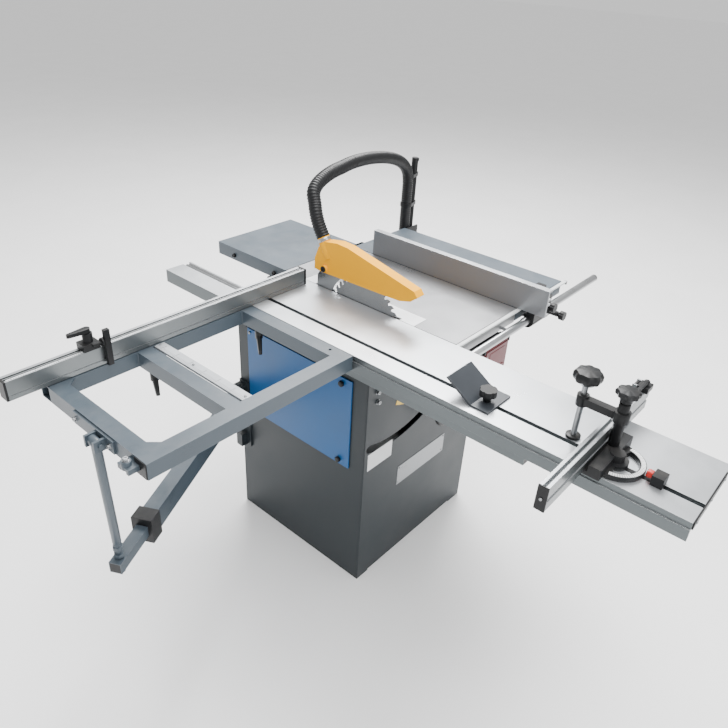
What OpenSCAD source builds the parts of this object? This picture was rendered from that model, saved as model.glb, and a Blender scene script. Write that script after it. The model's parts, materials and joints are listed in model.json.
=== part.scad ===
// Sliding table panel saw: X to the right of the operator, Y in the feed direction, Z up.
// The origin is the middle of the cabinet's footprint, on the floor.

/* [Cabinet] */
// Width of the cabinet across the feed direction
cab_w = 554; // [550:1:570]
// Depth of the cabinet along the feed direction
cab_d = 520; // [516:1:530]
// Height of the cabinet's top edge, which carries the cast table
cab_h = 818; // [816:1:818]
// Sheet thickness of the cabinet and its covers
sheet = 3; // [2:0.5:3]
// Spacing of the floor bolts across and along
floor_bolts = [470, 450]; // [440:10:480]
// Diameter of the floor bolt holes
floor_hole = 12; // [10:1:14]

/* [Tables] */
// Height of the working surface
table_z = 860; // [858:1:862]
// Length of the cast table along the feed direction
main_len = 607; // [600:1:610]
// Thickness of the cast table's plate
main_plate = 8; // [6:1:9]
// Depth of the extension tables' folded sides
ext_depth = 40; // [30:1:42]
// Length of the rear extension table
rear_ext_len = 310; // [250:10:350]
// Width of the right extension table
right_ext_w = 263; // [240:1:266]

/* [Saw unit] */
// Blade diameter
blade_d = 250; // [240:2:250]
// Blade body and tooth thickness
blade_t = [2, 2.8]; // [1.8:0.1:3]
// Number of teeth
teeth = 40; // [24:4:60]
// Height of the blade's middle at full cutting depth
arbor_z = 810; // [806:1:812]
// Arbor shaft diameter
arbor_d = 20; // [18:1:22]
// Diameters of the arbor pulley and the motor pulley
pulley_d = [52, 60]; // [44:1:60]
// Motor body diameter and length
motor_size = [124, 158]; // [110:1:160]

/* [Sliding table] */
// Length of the sliding table
slide_len = 1190; // [1150:10:1200]
// Width of the sliding table
slide_w = 220; // [216:1:220]
// Depth of the sliding table's side
slide_depth = 44; // [42:1:44]
// Length of the fixed beam
beam_len = 1234; // [1200:1:1240]
// Width and height of the fixed beam
beam_size = [90, 39]; // [36:1:92]
// Width of the table slot's mouth
slot_mouth = 12; // [10:1:14]
// Width and depth of the table slot's undercut
slot_under = [21, 7]; // [6:1:22]

/* [Crosscut frame] */
// Outside size of the square tubes
tube = 38; // [34:1:40]
// Wall of the square tubes
tube_wall = 2; // [2:0.5:3]
// Width and depth of the frame
frame_size = [560, 393]; // [380:1:580]
// Section of the crosscut fence
fence_size = [28, 45]; // [24:1:46]
// Length of the crosscut fence
fence_len = 840; // [800:10:860]

/* [Swing arm] */
// Width and height of the outer tube
arm_outer_size = [40, 60]; // [38:1:62]
// Size of the inner square tube
arm_inner_size = 30; // [26:1:31]
// Height of the arm's centre line
arm_z = 457; // [440:1:470]

/* [Rip fence] */
// Length, thickness and height of the fence
rip_size = [605, 6, 77]; // [5:1:620]
// Diameter of the round rail
rail_d = 22; // [20:1:24]
// Length of the round rail
rail_len = 734; // [700:1:740]

/* [Hose] */
// Outside diameter of the guard's hose
hose_d = 38; // [34:1:40]
// Bore of the main extraction port
port_d = 100; // [90:1:100]

/* [Hidden] */
$fn = 64;
fit = 0.05;

// cabinet
cab_x = cab_w / 2;
cab_y = cab_d / 2;
cover_y = [-206, 213];
cover_z = [415, 707];
cover_proud = 5;
left_wall_h = 784;
cutaway_x = -158;
seam = 0.1;
paddle_at = [-424, 778];
port = [60, 170];
port_y = [205, 330];
stub_y = 305;
stub_top = 262;

// tables
blade_x = -150;
main_x = [blade_x, 140];
main_y = [-423, -423 + main_len];
rim_z = cab_h;
insert_x = [-151, -96];
insert_y = [-292, 104];
insert_t = 4;
blade_gap = [-245, 62];
right_x = [143, 143 + right_ext_w];
right_y = [-423, 178];
rear_x = [-151, 165];
rear_y = [187, 187 + rear_ext_len];

// saw unit, measured from the tilt axis
pivot_z = 855;
blade_y = -122;
arbor_rel = arbor_z - pivot_z;
motor_at = [40, arbor_rel - 65];
pulley_x = 100;
screw_at = [162, -160];
wheel_angle = 28;
wheel_r = 370;
wheel_at = [wheel_r * sin(wheel_angle), -wheel_r * cos(wheel_angle)];
tilt_range = 45;
rod_x = 67;
rod_y = [-176, -64];
cheek_y = [-205, 120];
cheek_t = 10;
guard_bolt = [12, 926];
guard_w = 30;
guard_wall = 2.5;

// sliding table
slide_x = [-373, -373 + slide_w];
slide_y = [-1073, -1073 + slide_len];
slot_x = -313;
slide_plate = 10;
beam_x = [-356, -356 + beam_size[0]];
beam_y = [-743, -743 + beam_len];
beam_top = 824;
rod_d = 10;
cage_y = [-560, -70];

// crosscut frame and fence
frame_x = [-374 - frame_size[0], -374];
frame_y = [-283, -283 + frame_size[1]];
frame_z = table_z - 1;
mid_x = -721;
lever_drop = 32;
fence_x = [-177 - fence_len, -177];
fence_y = 75;
fence_z = table_z + 1;
fence_pivot = [-393, 92];
stop_x = -824;
stop_pivot = [fence_y - 3, fence_z + fence_size[1] + 12];

// swing arm
arm_hinge = [-300, 246];
foot = [-925, -88];
arm_angle = atan2(foot[1] - arm_hinge[1], foot[0] - arm_hinge[0]);
foot_s = norm(foot - arm_hinge);
outer_s = [16, 588];
inner_s = [300, foot_s + 22];
strut_top = [-951, -134, 838];
strut_foot = [-925, -88, 520];

// mitre gauge, hold-down and shoe
mitre_y = -905;
mitre_fence_x = [-534, -85];
mitre_fence_y = -872;
flap_x = mitre_fence_x[1] - 30;
flap_at = [mitre_fence_y + 25, table_z + 61];
post_at = [-292, -886];
screw_y = -806;
shoe_at = -615;

// rip fence
rip_x = 140.2;
rip_y = [97 - rip_size[0], 97];
rail_y = -448;
rail_z = 822;
rail_x = -140;
carriage_x = [165, 285];
column_at = [473, 208];
column_z = [790, 1085];

// routes of the hose, from the guard to the extraction port
route_lower = [[-150, 35, 1006], [-150, 47, 1025], [-150, 57, 1044], [-148, 67, 1066], [-140, 80, 1088]];
route_middle = [[-139.6, 80.7, 1089.1], [-132, 93, 1110], [-112, 101, 1126], [-80, 107, 1138],
    [-35, 115, 1146], [10, 122, 1149]];
route_upper = [[11, 122.2, 1149.1], [56, 129, 1152], [130, 146, 1147], [200, 160, 1138], [280, 175, 1122],
    [350, 188, 1100], [402, 198, 1072], [430, 203, 1040], [440, 206, 1006], [440, 206, 1001]];
route_drop = [[440, 206, 1001], [440, 206, 900], [440, 206, 800], [440, 206, 700], [440, 207, 600],
    [436, 214, 530], [420, 234, 468], [380, 262, 420], [310, 288, 388], [220, 300, 368],
    [130, 305, 348], [80, 305, 320], [60, 305, 290], [60, 305, 262]];

cab_color = [0.16, 0.19, 0.21];
slate = [0.40, 0.48, 0.55];
alu = [0.78, 0.81, 0.84];
cast = [0.62, 0.63, 0.65];
black = [0.10, 0.11, 0.12];
steel = [0.66, 0.67, 0.68];
yellow = [0.94, 0.66, 0.12];

// A box between two corners
module box(x, y, z) {
    translate([x[0], y[0], z[0]])
        cube([x[1] - x[0], y[1] - y[0], z[1] - z[0]]);
}

// A cylinder along X, Y or Z from a start point
module rod_along_x(at, d, len) {
    translate(at)
        rotate([0, 90, 0])
            cylinder(d = d, h = len);
}

module rod_along_y(at, d, len) {
    translate(at)
        rotate([-90, 0, 0])
            cylinder(d = d, h = len);
}

module rod_along_z(at, d, len) {
    translate(at)
        cylinder(d = d, h = len);
}

// A plate drawn in the XZ plane at the tilt axis and given a thickness along Y
module xz_plate(y, t) {
    translate([blade_x, y + t, pivot_z])
        rotate([90, 0, 0])
            linear_extrude(t)
                children();
}

// A plate drawn in the YZ plane and given a thickness along X
module yz_plate(x, t) {
    translate([x, 0, 0])
        rotate([90, 0, 90])
            linear_extrude(t)
                children();
}

// A ring sector between two angles
module sector(r_in, r_out, a0, a1) {
    reach = r_out * 1.5;
    mid = (a0 + a1) / 2;
    intersection() {
        difference() {
            circle(r_out, $fn = 128);
            circle(r_in, $fn = 128);
        }
        polygon([[0, 0], reach * [cos(a0), sin(a0)], reach * [cos(mid), sin(mid)],
            reach * [cos(a1), sin(a1)]]);
    }
}

// A hollow rectangular tube along X, from the origin
module square_tube_x(len, w, h, wall) {
    difference() {
        cube([len, w, h]);
        translate([-1, wall, wall])
            cube([len + 2, w - 2 * wall, h - 2 * wall]);
    }
}

// A tube with a square bore is laid along the swing arm from one distance to another
module along_arm(s0) {
    translate([arm_hinge[0], arm_hinge[1], arm_z])
        rotate([0, 0, arm_angle])
            translate([s0, 0, 0])
                children();
}

// A round cross-section swept along a list of points
function unit(v) = v / norm(v);
function tangent(p, i) = unit(i == 0 ? p[1] - p[0]
    : i == len(p) - 1 ? p[i] - p[i - 1]
    : unit(p[i + 1] - p[i]) + unit(p[i] - p[i - 1]));
function side_of(t) = unit(cross(t, [0.3, -0.9, 0.1]));
function ring_at(c, t, r, sides) = [for (k = [0 : sides - 1])
    c + r * (cos(360 * k / sides) * side_of(t) + sin(360 * k / sides) * cross(t, side_of(t)))];

module swept_tube(route, d, sides) {
    rings = len(route);
    points = [for (i = [0 : rings - 1]) each ring_at(route[i], tangent(route, i), d / 2, sides)];
    walls = [for (i = [0 : rings - 2], k = [0 : sides - 1])
        [i * sides + k, i * sides + (k + 1) % sides, (i + 1) * sides + (k + 1) % sides,
            (i + 1) * sides + k]];
    first_cap = [for (k = [0 : sides - 1]) sides - 1 - k];
    last_cap = [for (k = [0 : sides - 1]) (rings - 1) * sides + k];
    polyhedron(points, concat([first_cap], walls, [last_cap]));
}

// ---- cabinet ----

// Four wall panels and a foot flange, which meet at hairline seams
module cabinet_shell() {
    color(cab_color) {
        front_panel();
        rear_panel();
        left_panel();
        right_panel();
        floor_flange();
    }
}

// The outline of the front and rear panels, drawn from the tilt axis
module end_panel_outline() {
    translate([-blade_x, -pivot_z])
        difference() {
            polygon([[-cab_x, 0], [cab_x, 0], [cab_x, cab_h], [cutaway_x, cab_h], [cutaway_x, left_wall_h],
                [-cab_x, left_wall_h]]);
            translate([-225, -1])
                square([440, 9]);
        }
}

module front_panel() {
    xz_plate(-cab_y, sheet)
        difference() {
            end_panel_outline();
            wheel_slot();
        }
}

module rear_panel() {
    xz_plate(cab_y - sheet, sheet)
        difference() {
            end_panel_outline();
            translate([port[0] - blade_x, port[1] - pivot_z])
                circle(d = port_d + 12);
        }
}

module left_panel() {
    half = cab_y - sheet - seam;
    difference() {
        box([-cab_x, sheet - cab_x], [-half, half], [0, left_wall_h]);
        box([-cab_x - 1, sheet + 1 - cab_x], [cover_y[0] + 12, cover_y[1] - 12],
            [cover_z[0] + 12, cover_z[1] - 12]);
    }
}

module right_panel() {
    half = cab_y - sheet - seam;
    difference() {
        box([cab_x - sheet, cab_x], [-half, half], [0, cab_h]);
        rod_along_x([cab_x - sheet - 1, -160, 640], 21, sheet + 2);
        louvres();
    }
}

module floor_flange() {
    x = cab_x - sheet - seam;
    y = cab_y - sheet - seam;
    difference() {
        box([-x, x], [-y, y], [0, sheet]);
        box([55 - cab_x, cab_x - 55], [55 - cab_y, cab_y - 55], [-1, sheet + 1]);
        for (sx = [-1, 1], sy = [-1, 1])
            rod_along_z([sx * floor_bolts[0] / 2, sy * floor_bolts[1] / 2, -1], floor_hole, sheet + 2);
    }
}

module wheel_slot() {
    slot_w = 24;
    sector(wheel_r - slot_w / 2, wheel_r + slot_w / 2, wheel_angle - 90 - tilt_range, wheel_angle - 90);
    for (a = [wheel_angle - 90, wheel_angle - 90 - tilt_range])
        translate(wheel_r * [cos(a), sin(a)])
            circle(d = slot_w);
}

module louvres() {
    for (k = [0 : 6])
        box([cab_x - sheet - 1, cab_x + 1], [20, 180], [240 + 26 * k, 248 + 26 * k]);
}

module side_cover() {
    color([0.10, 0.33, 0.54])
        difference() {
            box([-cab_x - cover_proud, -cab_x], cover_y, cover_z);
            box([-cab_x - cover_proud + 2, -cab_x + 1], [cover_y[0] + 14, cover_y[1] - 14],
                [cover_z[0] + 14, cover_z[1] - 14]);
        }
}

module dust_chute() {
    wall = 3;
    half = cab_x - sheet - 1;
    color(steel)
        difference() {
            union() {
                yz_plate(-half, 2 * half)
                    polygon([[-cab_y + sheet + 1, 400], [-cab_y + sheet + 1 + wall, 400], [-40, 150],
                        [port_y[0], 112], [port_y[0], 240], [port_y[0] - wall, 240],
                        [port_y[0] - wall, 112 + wall], [-38, 150 + wall], [-cab_y + sheet + 5, 406],
                        [-cab_y + sheet + 1, 406]]);
                rod_along_y([port[0], port_y[0] - wall, port[1]], port_d + 4, port_y[1] - port_y[0] + wall);
                rod_along_z([port[0], stub_y, port[1]], hose_d - 4, stub_top - port[1]);
            }
            rod_along_y([port[0], port_y[0] - wall - 1, port[1]], port_d, port_y[1] - port_y[0] + wall + 2);
            rod_along_z([port[0], stub_y, port[1]], hose_d - 8, stub_top - port[1] + 1);
        }
}

// ---- tables ----

module main_table() {
    color(cast)
        difference() {
            union() {
                box(main_x, main_y, [table_z - main_plate, table_z]);
                difference() {
                    box(main_x, main_y, [rim_z, table_z - 1]);
                    box([main_x[0] + 10, main_x[1] - 10], [main_y[0] + 10, main_y[1] - 10], [rim_z - 1, table_z]);
                    box([main_x[0] - 1, main_x[0] + 11], [insert_y[0] - 1, insert_y[1] + 1], [rim_z - 1, table_z]);
                }
                for (y = [-355, -305])
                    box([main_x[0] + 9, main_x[1] - 9], [y, y + 6], [rim_z + 12, table_z - 1]);
                box([44, 50], [main_y[0] + 9, main_y[1] - 9], [rim_z + 12, table_z - 1]);
            }
            box([main_x[0] - 1, insert_x[1] + 1], [insert_y[0] - 1, insert_y[1] + 1],
                [table_z - insert_t, table_z + 1]);
            box([main_x[0] - 1, insert_x[1] - 7], [insert_y[0] + 12, insert_y[1] - 12], [rim_z, table_z + 1]);
        }
}

module table_insert() {
    color([0.86, 0.88, 0.90])
        difference() {
            box(insert_x, insert_y, [table_z - insert_t, table_z]);
            box([insert_x[0] - 1, blade_x + 10], blade_gap, [table_z - insert_t - 1, table_z + 1]);
        }
}

// A folded sheet table, open below
module folded_table(x, y) {
    fold = 2;
    difference() {
        box(x, y, [table_z - ext_depth, table_z]);
        box([x[0] + fold, x[1] - fold], [y[0] + fold, y[1] - fold], [table_z - ext_depth - 1, table_z - fold]);
    }
    box([x[0] + 1, x[1] - 1], [(y[0] + y[1]) / 2 - 15, (y[0] + y[1]) / 2 + 15], [table_z - 12, table_z - 1]);
}

module rear_extension() {
    color(slate)
        folded_table(rear_x, rear_y);
}

module right_extension() {
    color(slate)
        folded_table(right_x, right_y);
}

module scale_rail() {
    color(alu)
        difference() {
            box([main_x[0], right_x[1] + 19], [main_y[0] - 10, main_y[0]], [table_z - 14, table_z - 2]);
            box([main_x[0] - 1, right_x[1] + 20], [main_y[0] - 11, main_y[0] - 3], [table_z - 15, table_z - 6]);
        }
}

module guide_rail() {
    color(steel)
        difference() {
            rod_along_x([rail_x, rail_y, rail_z], rail_d, rail_len);
            for (x = [-105, 70, 300])
                rod_along_y([x, rail_y, rail_z + 3], 8, rail_d);
        }
}

module rail_standoffs() {
    color(steel)
        for (x = [-105, 70, 300])
            rod_along_y([x, rail_y + 2, rail_z + 3], 8, main_y[0] - rail_y - 2);
}

// ---- saw unit, fixed parts ----

module trunnion_brackets() {
    flange_z = table_z - main_plate - 8;
    color(cast)
        for (k = [0, 1]) {
            y = k == 0 ? cheek_y[0] - 14 : cheek_y[1] + cheek_t + 2;
            groove_y = k == 0 ? y + 8 : y - 1;
            difference() {
                union() {
                    xz_plate(y, 12)
                        sector(45, 95, -86, -4);
                    box([blade_x + 60, blade_x + 130], [y, y + 12], [flange_z - 30, table_z - main_plate]);
                    box([blade_x + 60, blade_x + 130], [k == 0 ? y - 30 : y, k == 0 ? y + 12 : y + 42],
                        [flange_z, table_z - main_plate]);
                }
                xz_plate(groove_y, 5)
                    sector(64.5, 75.5, -90, 0);
            }
        }
}

module switch_box() {
    color(black)
        union() {
            box([5, 105], [-405, -350], [690, 790]);
            box([20, 90], [-372, -366], [789, rim_z + 11]);
            box([20, 90], [main_y[0] + 10, -366], [rim_z + 4, rim_z + 11]);
            box([-8, 118], [-405, -399], [768, 788]);
            for (x = [-8, 113])
                box([x, x + 5], [-431, -400], [771, 785]);
            rod_along_x([-6, paddle_at[0], paddle_at[1]], 5 - 2 * fit, 122);
        }
}

module stop_paddle() {
    color([0.47, 0.04, 0.08])
        difference() {
            union() {
                box([0, 110], [-432, -420], [694, 776]);
                rod_along_x([0, paddle_at[0], paddle_at[1]], 12, 110);
                box([20, 90], [-421, -414], [700, 740]);
            }
            rod_along_x([-1, paddle_at[0], paddle_at[1]], 5, 112);
        }
}

// ---- hose and its column ----

module hose_column() {
    color(black)
        union() {
            rod_along_z([column_at[0], column_at[1], column_z[0]], rail_d, column_z[1] - column_z[0]);
            box([375, column_at[0] + 8], [right_y[1], right_y[1] + 5], [table_z - 38, table_z - 6]);
            box([column_at[0] - 8, column_at[0] + 8], [right_y[1], column_at[1]], [table_z - 34, table_z - 18]);
        }
}

module hose_drop() {
    color(black)
        swept_tube(route_drop, hose_d, 12);
}

module hose_upper() {
    color(black)
        swept_tube(route_upper, hose_d, 12);
}

module hose_middle() {
    color(black)
        swept_tube(route_middle, hose_d, 12);
}

module hose_lower() {
    color(black)
        swept_tube(route_lower, hose_d, 12);
}

// ---- saw unit, tilting parts ----

module tilt_frame() {
    bar = 14;
    color(cast)
        difference() {
            union() {
                for (k = [0, 1]) {
                    tongue_y = k == 0 ? cheek_y[0] - 5 : cheek_y[1] + cheek_t - 1;
                    xz_plate(cheek_y[k], cheek_t)
                        union() {
                            sector(45, 95, -78, -12);
                            polygon([[17, -60], [70, -52], [84, -100], [84, -170], [17, -170]]);
                        }
                    xz_plate(tongue_y, 6)
                        sector(66, 74, -76, -20);
                }
                xz_plate(cheek_y[0], cheek_t)
                    hull() {
                        translate([66, -120])
                            circle(16, $fn = 32);
                        translate(wheel_at)
                            circle(13, $fn = 32);
                    }
                for (x = [18, 60])
                    box([blade_x + x, blade_x + x + bar], [cheek_y[0] + 1, cheek_y[1] + 1],
                        [pivot_z - 167, pivot_z - 167 + bar]);
                box([blade_x + 60, blade_x + 60 + bar], [cheek_y[0] + 1, -38], [pivot_z - 16, pivot_z - 8]);
                box([blade_x + 60, blade_x + 60 + bar], [-46, -38], [pivot_z - 160, pivot_z - 8]);
                screw_support();
            }
            rod_along_y([blade_x + wheel_at[0], cheek_y[0] - 1, pivot_z + wheel_at[1]], 16 + 2 * fit, 60);
            rod_along_z([blade_x + screw_at[0], screw_at[1], pivot_z - 270], 14 + 2 * fit, 40);
            for (y = rod_y)
                rod_along_z([blade_x + rod_x, y, pivot_z - 168], 10, 170);
        }
    color(steel)
        for (y = rod_y)
            rod_along_z([blade_x + rod_x, y, pivot_z - 167], 12, 159);
}

// The step bearing that holds the lift screw's lower end
module screw_support() {
    box([blade_x + 152, blade_x + 176], [cheek_y[0] + 1, screw_at[1] + 14], [pivot_z - 264, pivot_z - 252]);
    box([blade_x + 152, blade_x + 176], [cheek_y[0] + 1, cheek_y[0] + cheek_t], [pivot_z - 290, pivot_z - 252]);
}

module lift_screw() {
    color(steel)
        union() {
            rod_along_z([blade_x + screw_at[0], screw_at[1], pivot_z - 292], 14, 272);
            rod_along_z([blade_x + screw_at[0], screw_at[1], pivot_z - 251.5], 22, 8);
            rod_along_z([blade_x + screw_at[0], screw_at[1], pivot_z - 292], 24, 10);
        }
}

// A handwheel with its rim, three spokes, hub and crank grip, turning about +Y
module handwheel(rim_r) {
    color(black) {
        rotate([90, 0, 0])
            rotate_extrude($fn = 96)
                translate([rim_r - 7, 0])
                    circle(7, $fn = 32);
        for (a = [0, 120, 240])
            rotate([0, a, 0])
                translate([0, -5, -6])
                    cube([rim_r - 6, 10, 12]);
        translate([0, 16, 0])
            rotate([90, 0, 0])
                cylinder(d = 34, h = 32);
        translate([rim_r - 8, -48, 0])
            rotate([-90, 0, 0])
                cylinder(d = 17, h = 46);
    }
}

module height_wheel() {
    wheel_y = -318;
    union() {
        translate([blade_x + wheel_at[0], wheel_y, pivot_z + wheel_at[1]])
            rotate([0, 50, 0])
                handwheel(54);
        color(steel)
            rod_along_y([blade_x + wheel_at[0], wheel_y, pivot_z + wheel_at[1]], 16, 138);
        color(steel)
            rod_along_y([blade_x + wheel_at[0], -180, pivot_z + wheel_at[1]], 24, 5);
    }
}

module tilt_wheel() {
    union() {
        translate([cab_x + 42, -160, 640])
            rotate([0, 0, 90])
                rotate([0, 30, 0])
                    handwheel(54);
        color(steel)
            rod_along_x([160, -160, 640], 16, cab_x + 42 - 160);
    }
}

module arbor_block() {
    color(cast)
        difference() {
            union() {
                box([blade_x + 14, blade_x + 95], [blade_y - 34, blade_y + 34],
                    [arbor_z - 30, arbor_z + 28]);
                box([blade_x + 58, blade_x + 76], [rod_y[0], rod_y[1]], [arbor_z - 22, arbor_z + 20]);
                for (y = rod_y)
                    rod_along_z([blade_x + rod_x, y, arbor_z - 25], 28, 50);
                box([blade_x + 58, blade_x + 84], [-176, -150], [arbor_z - 41, arbor_z + 20]);
                box([blade_x + 60, blade_x + 176], [-170, -150], [arbor_z - 41, arbor_z - 29]);
                rod_along_z([blade_x + screw_at[0], screw_at[1], arbor_z - 41], 26, 24);
                box([blade_x + 3, blade_x + 14.5], [blade_y + 33, 48], [arbor_z - 20, arbor_z + 18]);
                box([blade_x + 1.25, blade_x + 4], [12, 48], [arbor_z - 20, arbor_z + 18]);
                box([blade_x + 86, blade_x + 94], [blade_y + 33, 104], [arbor_z - 105, arbor_z + 10]);
                box([blade_x + 93, blade_x + 125], [84, 104], [arbor_z - 105, arbor_z - 20]);
                box([blade_x + 124, blade_x + 132], [-30, 104], [arbor_z - 115, arbor_z - 8]);
            }
            rod_along_x([blade_x, blade_y, arbor_z], arbor_d + 2 * fit, 120);
            rod_along_x([blade_x + 120, motor_at[0], pivot_z + motor_at[1]], 46, 20);
            for (y = rod_y)
                rod_along_z([blade_x + rod_x, y, arbor_z - 60], 12 + 2 * fit, 120);
            rod_along_z([blade_x + screw_at[0], screw_at[1], arbor_z - 60], 14.4, 60);
        }
}

module motor() {
    x0 = blade_x + 132;
    at = [motor_at[0], pivot_z + motor_at[1]];
    color([0.25, 0.27, 0.29])
        difference() {
            union() {
                rod_along_x([x0, at[0], at[1]], motor_size[0] - 8, motor_size[1]);
                for (k = [0 : 7])
                    rod_along_x([x0 + 14 + 14 * k, at[0], at[1]], motor_size[0], 6);
                rod_along_x([x0 + motor_size[1] - 26, at[0], at[1]], motor_size[0] - 2, 26);
                box([x0 + 40, x0 + 100], [at[0] - 30, at[0] + 30], [at[1] + 50, at[1] + 74]);
            }
            rod_along_x([x0 - 1, at[0], at[1]], 24, 8);
            rod_along_x([x0 - 1, at[0], at[1]], 19 + 2 * fit, 40);
        }
}

module riving_knife() {
    color(steel)
        yz_plate(blade_x - 1.25, 2.5)
            difference() {
                polygon([[-40, 770], [46, 770], [54, 830], [54, 891], [45, 906], [36, 928], [20, 940], [-5, 943],
                    [-30, 930]]);
                translate([blade_y, arbor_z])
                    circle(blade_d / 2 + 4, $fn = 128);
                translate(guard_bolt)
                    circle(d = 10 + 2 * fit);
            }
}

module drive_belt() {
    r_big = pulley_d[1] / 2 + 3;
    r_small = pulley_d[0] / 2 + 3;
    small_at = [blade_y, arbor_z];
    big_at = [motor_at[0], pivot_z + motor_at[1]];
    color(black)
        yz_plate(blade_x + pulley_x + 4, 10)
            difference() {
                belt_outline(small_at, r_small, big_at, r_big);
                belt_outline(small_at, r_small - 2.7, big_at, r_big - 2.7);
            }
}

// Two circles and the tangents between them
module belt_outline(a, ra, b, rb) {
    along = atan2(b[1] - a[1], b[0] - a[0]);
    lean = asin((rb - ra) / norm(b - a));
    up = along + 90 + lean;
    down = along - 90 - lean;
    translate(a)
        circle(ra);
    translate(b)
        circle(rb);
    polygon([a + ra * [cos(up), sin(up)], a + ra * [cos(down), sin(down)],
        b + rb * [cos(down), sin(down)], b + rb * [cos(up), sin(up)]]);
}

module arbor() {
    color(steel)
        union() {
            rod_along_x([blade_x - 19, blade_y, arbor_z], arbor_d, 140);
            rod_along_x([blade_x - 7.5, blade_y, arbor_z], 44, 6.4);
            rod_along_x([blade_x + 1.1, blade_y, arbor_z], 44, 12);
            translate([blade_x - 17, blade_y, arbor_z])
                rotate([0, 90, 0])
                    cylinder(d = 30, h = 10, $fn = 6);
            rod_along_x([blade_x + pulley_x, blade_y, arbor_z], pulley_d[0], 18);
        }
}

// Carbide-tipped blade: a disc with gullets and slightly thicker tips
module saw_blade() {
    r = blade_d / 2;
    color(steel)
        translate([blade_x, blade_y, arbor_z])
            rotate([90, 0, 90])
                union() {
                    translate([0, 0, -blade_t[0] / 2])
                        linear_extrude(blade_t[0])
                            difference() {
                                circle(r - 3, $fn = 160);
                                circle(d = arbor_d + 2 * fit);
                                for (k = [0 : teeth - 1])
                                    rotate(k * 360 / teeth)
                                        translate([r - 5, 3])
                                            rotate(-24)
                                                square([10, 8]);
                                for (k = [0 : 3])
                                    rotate(k * 90 + 20)
                                        translate([r - 30, 0])
                                            circle(d = 6, $fn = 24);
                            }
                    translate([0, 0, -blade_t[1] / 2])
                        linear_extrude(blade_t[1])
                            for (k = [0 : teeth - 1])
                                rotate(k * 360 / teeth)
                                    translate([r - 9, -0.5])
                                        square([9, 3]);
                }
}

module motor_pulley() {
    at = [motor_at[0], pivot_z + motor_at[1]];
    color(steel)
        union() {
            rod_along_x([blade_x + pulley_x, at[0], at[1]], pulley_d[1], 18);
            rod_along_x([blade_x + pulley_x - 3, at[0], at[1]], 19, 68);
        }
}

module blade_guard() {
    spout = 36;
    color(yellow)
        difference() {
            union() {
                yz_plate(blade_x - guard_w / 2, guard_w)
                    polygon([[53, 915], [52, 946], [38, 981], [14, 1002], [-30, 1010], [-68, 1008], [-292, 961],
                        [-303, 948], [-284, 931], [-250, 921], [-183, 918], [24, 912]]);
                guard_spout(spout, -14, 46);
            }
            yz_plate(blade_x - guard_w / 2 + guard_wall, guard_w - 2 * guard_wall)
                polygon([[50, 880], [49.4, 945], [35.6, 979], [13, 999.4], [-30, 1007.4], [-67.5, 1005.4],
                    [-290.5, 958.6], [-299.4, 948], [-283, 933.6], [-250, 923.6], [-240, 880]]);
            guard_spout(spout - 5, 4, 60);
        }
    color(black)
        union() {
            rod_along_x([blade_x - guard_w / 2 - 6, guard_bolt[0], guard_bolt[1]], 10, guard_w + 12);
            rod_along_x([blade_x - guard_w / 2 - 8, guard_bolt[0], guard_bolt[1]], 20, 8);
            rod_along_x([blade_x + guard_w / 2, guard_bolt[0], guard_bolt[1]], 18, 8);
        }
}

// The round outlet on the guard's rear shoulder leans back with the hose
module guard_spout(d, from, to) {
    lean = atan2(12, 19);
    intersection() {
        translate([blade_x, 35, 1006])
            rotate([-lean, 0, 0])
                translate([0, 0, -46 + from])
                    cylinder(d = d, h = to - from);
        box([blade_x - 40, blade_x + 40], [-100, 120], [900, 1100]);
    }
}

// ---- sliding table ----

module sliding_table() {
    z0 = table_z - slide_plate;
    zb = table_z - slide_depth;
    color(alu)
        difference() {
            union() {
                box(slide_x, slide_y, [z0, table_z]);
                box([slide_x[0], slide_x[0] + 6], slide_y, [zb, z0 + 1]);
                box([slide_x[0] + 1, slide_x[0] + 12], slide_y, [table_z - 21, table_z - 18]);
                box([-262, -257], slide_y, [zb, z0 + 1]);
                box([slot_x - 15, slot_x + 15], slide_y, [table_z - 18, z0 + 1]);
            }
            box([slot_x - slot_mouth / 2, slot_x + slot_mouth / 2], [slide_y[0] - 1, 95], [table_z - 10, table_z + 1]);
            box([slot_x - slot_under[0] / 2, slot_x + slot_under[0] / 2], [slide_y[0] - 1, 95],
                [table_z - 9 - slot_under[1], table_z - 6]);
            box([slide_x[0] - 1, slide_x[0] + 3], [slide_y[0] - 1, slide_y[1] + 1], [table_z - 17, table_z - 9]);
            translate([0, slide_y[1] + 1, 0])
                rotate([90, 0, 0])
                    linear_extrude(slide_len + 2)
                        polygon([[slide_x[1] - 7, z0 - 1], [slide_x[1] + 1, z0 - 1], [slide_x[1] + 1, table_z - 2]]);
        }
}

module table_end_plates() {
    color(black)
        for (y = [slide_y[0] - 3, slide_y[1]])
            box([slide_x[0] + 5, slide_x[1] - 26], [y, y + 3], [table_z - 18, table_z - 1]);
}

module base_beam() {
    wall = 4;
    zb = beam_top - beam_size[1];
    color(alu)
        difference() {
            box(beam_x, beam_y, [zb, beam_top]);
            box([beam_x[0] + wall, beam_x[1] - wall], [beam_y[0] - 1, beam_y[1] + 1], [zb + wall, beam_top - 14]);
            box([beam_x[1] - 28, beam_x[1] - 6], [beam_y[0] - 1, beam_y[1] + 1], [beam_top - 8, beam_top + 1]);
            box([beam_x[0] + wall, beam_x[1] - 32], [beam_y[0] - 1, beam_y[1] + 1], [zb + wall, beam_top - 4]);
        }
}

module beam_rods() {
    color(steel)
        for (x = [beam_x[1] - 22.5, beam_x[1] - 11.5], k = [0, 1])
            rod_along_y([x, beam_y[0] + 12 + k * (beam_len / 2 - 6), beam_top - 3], rod_d, beam_len / 2 - 18);
}

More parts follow.
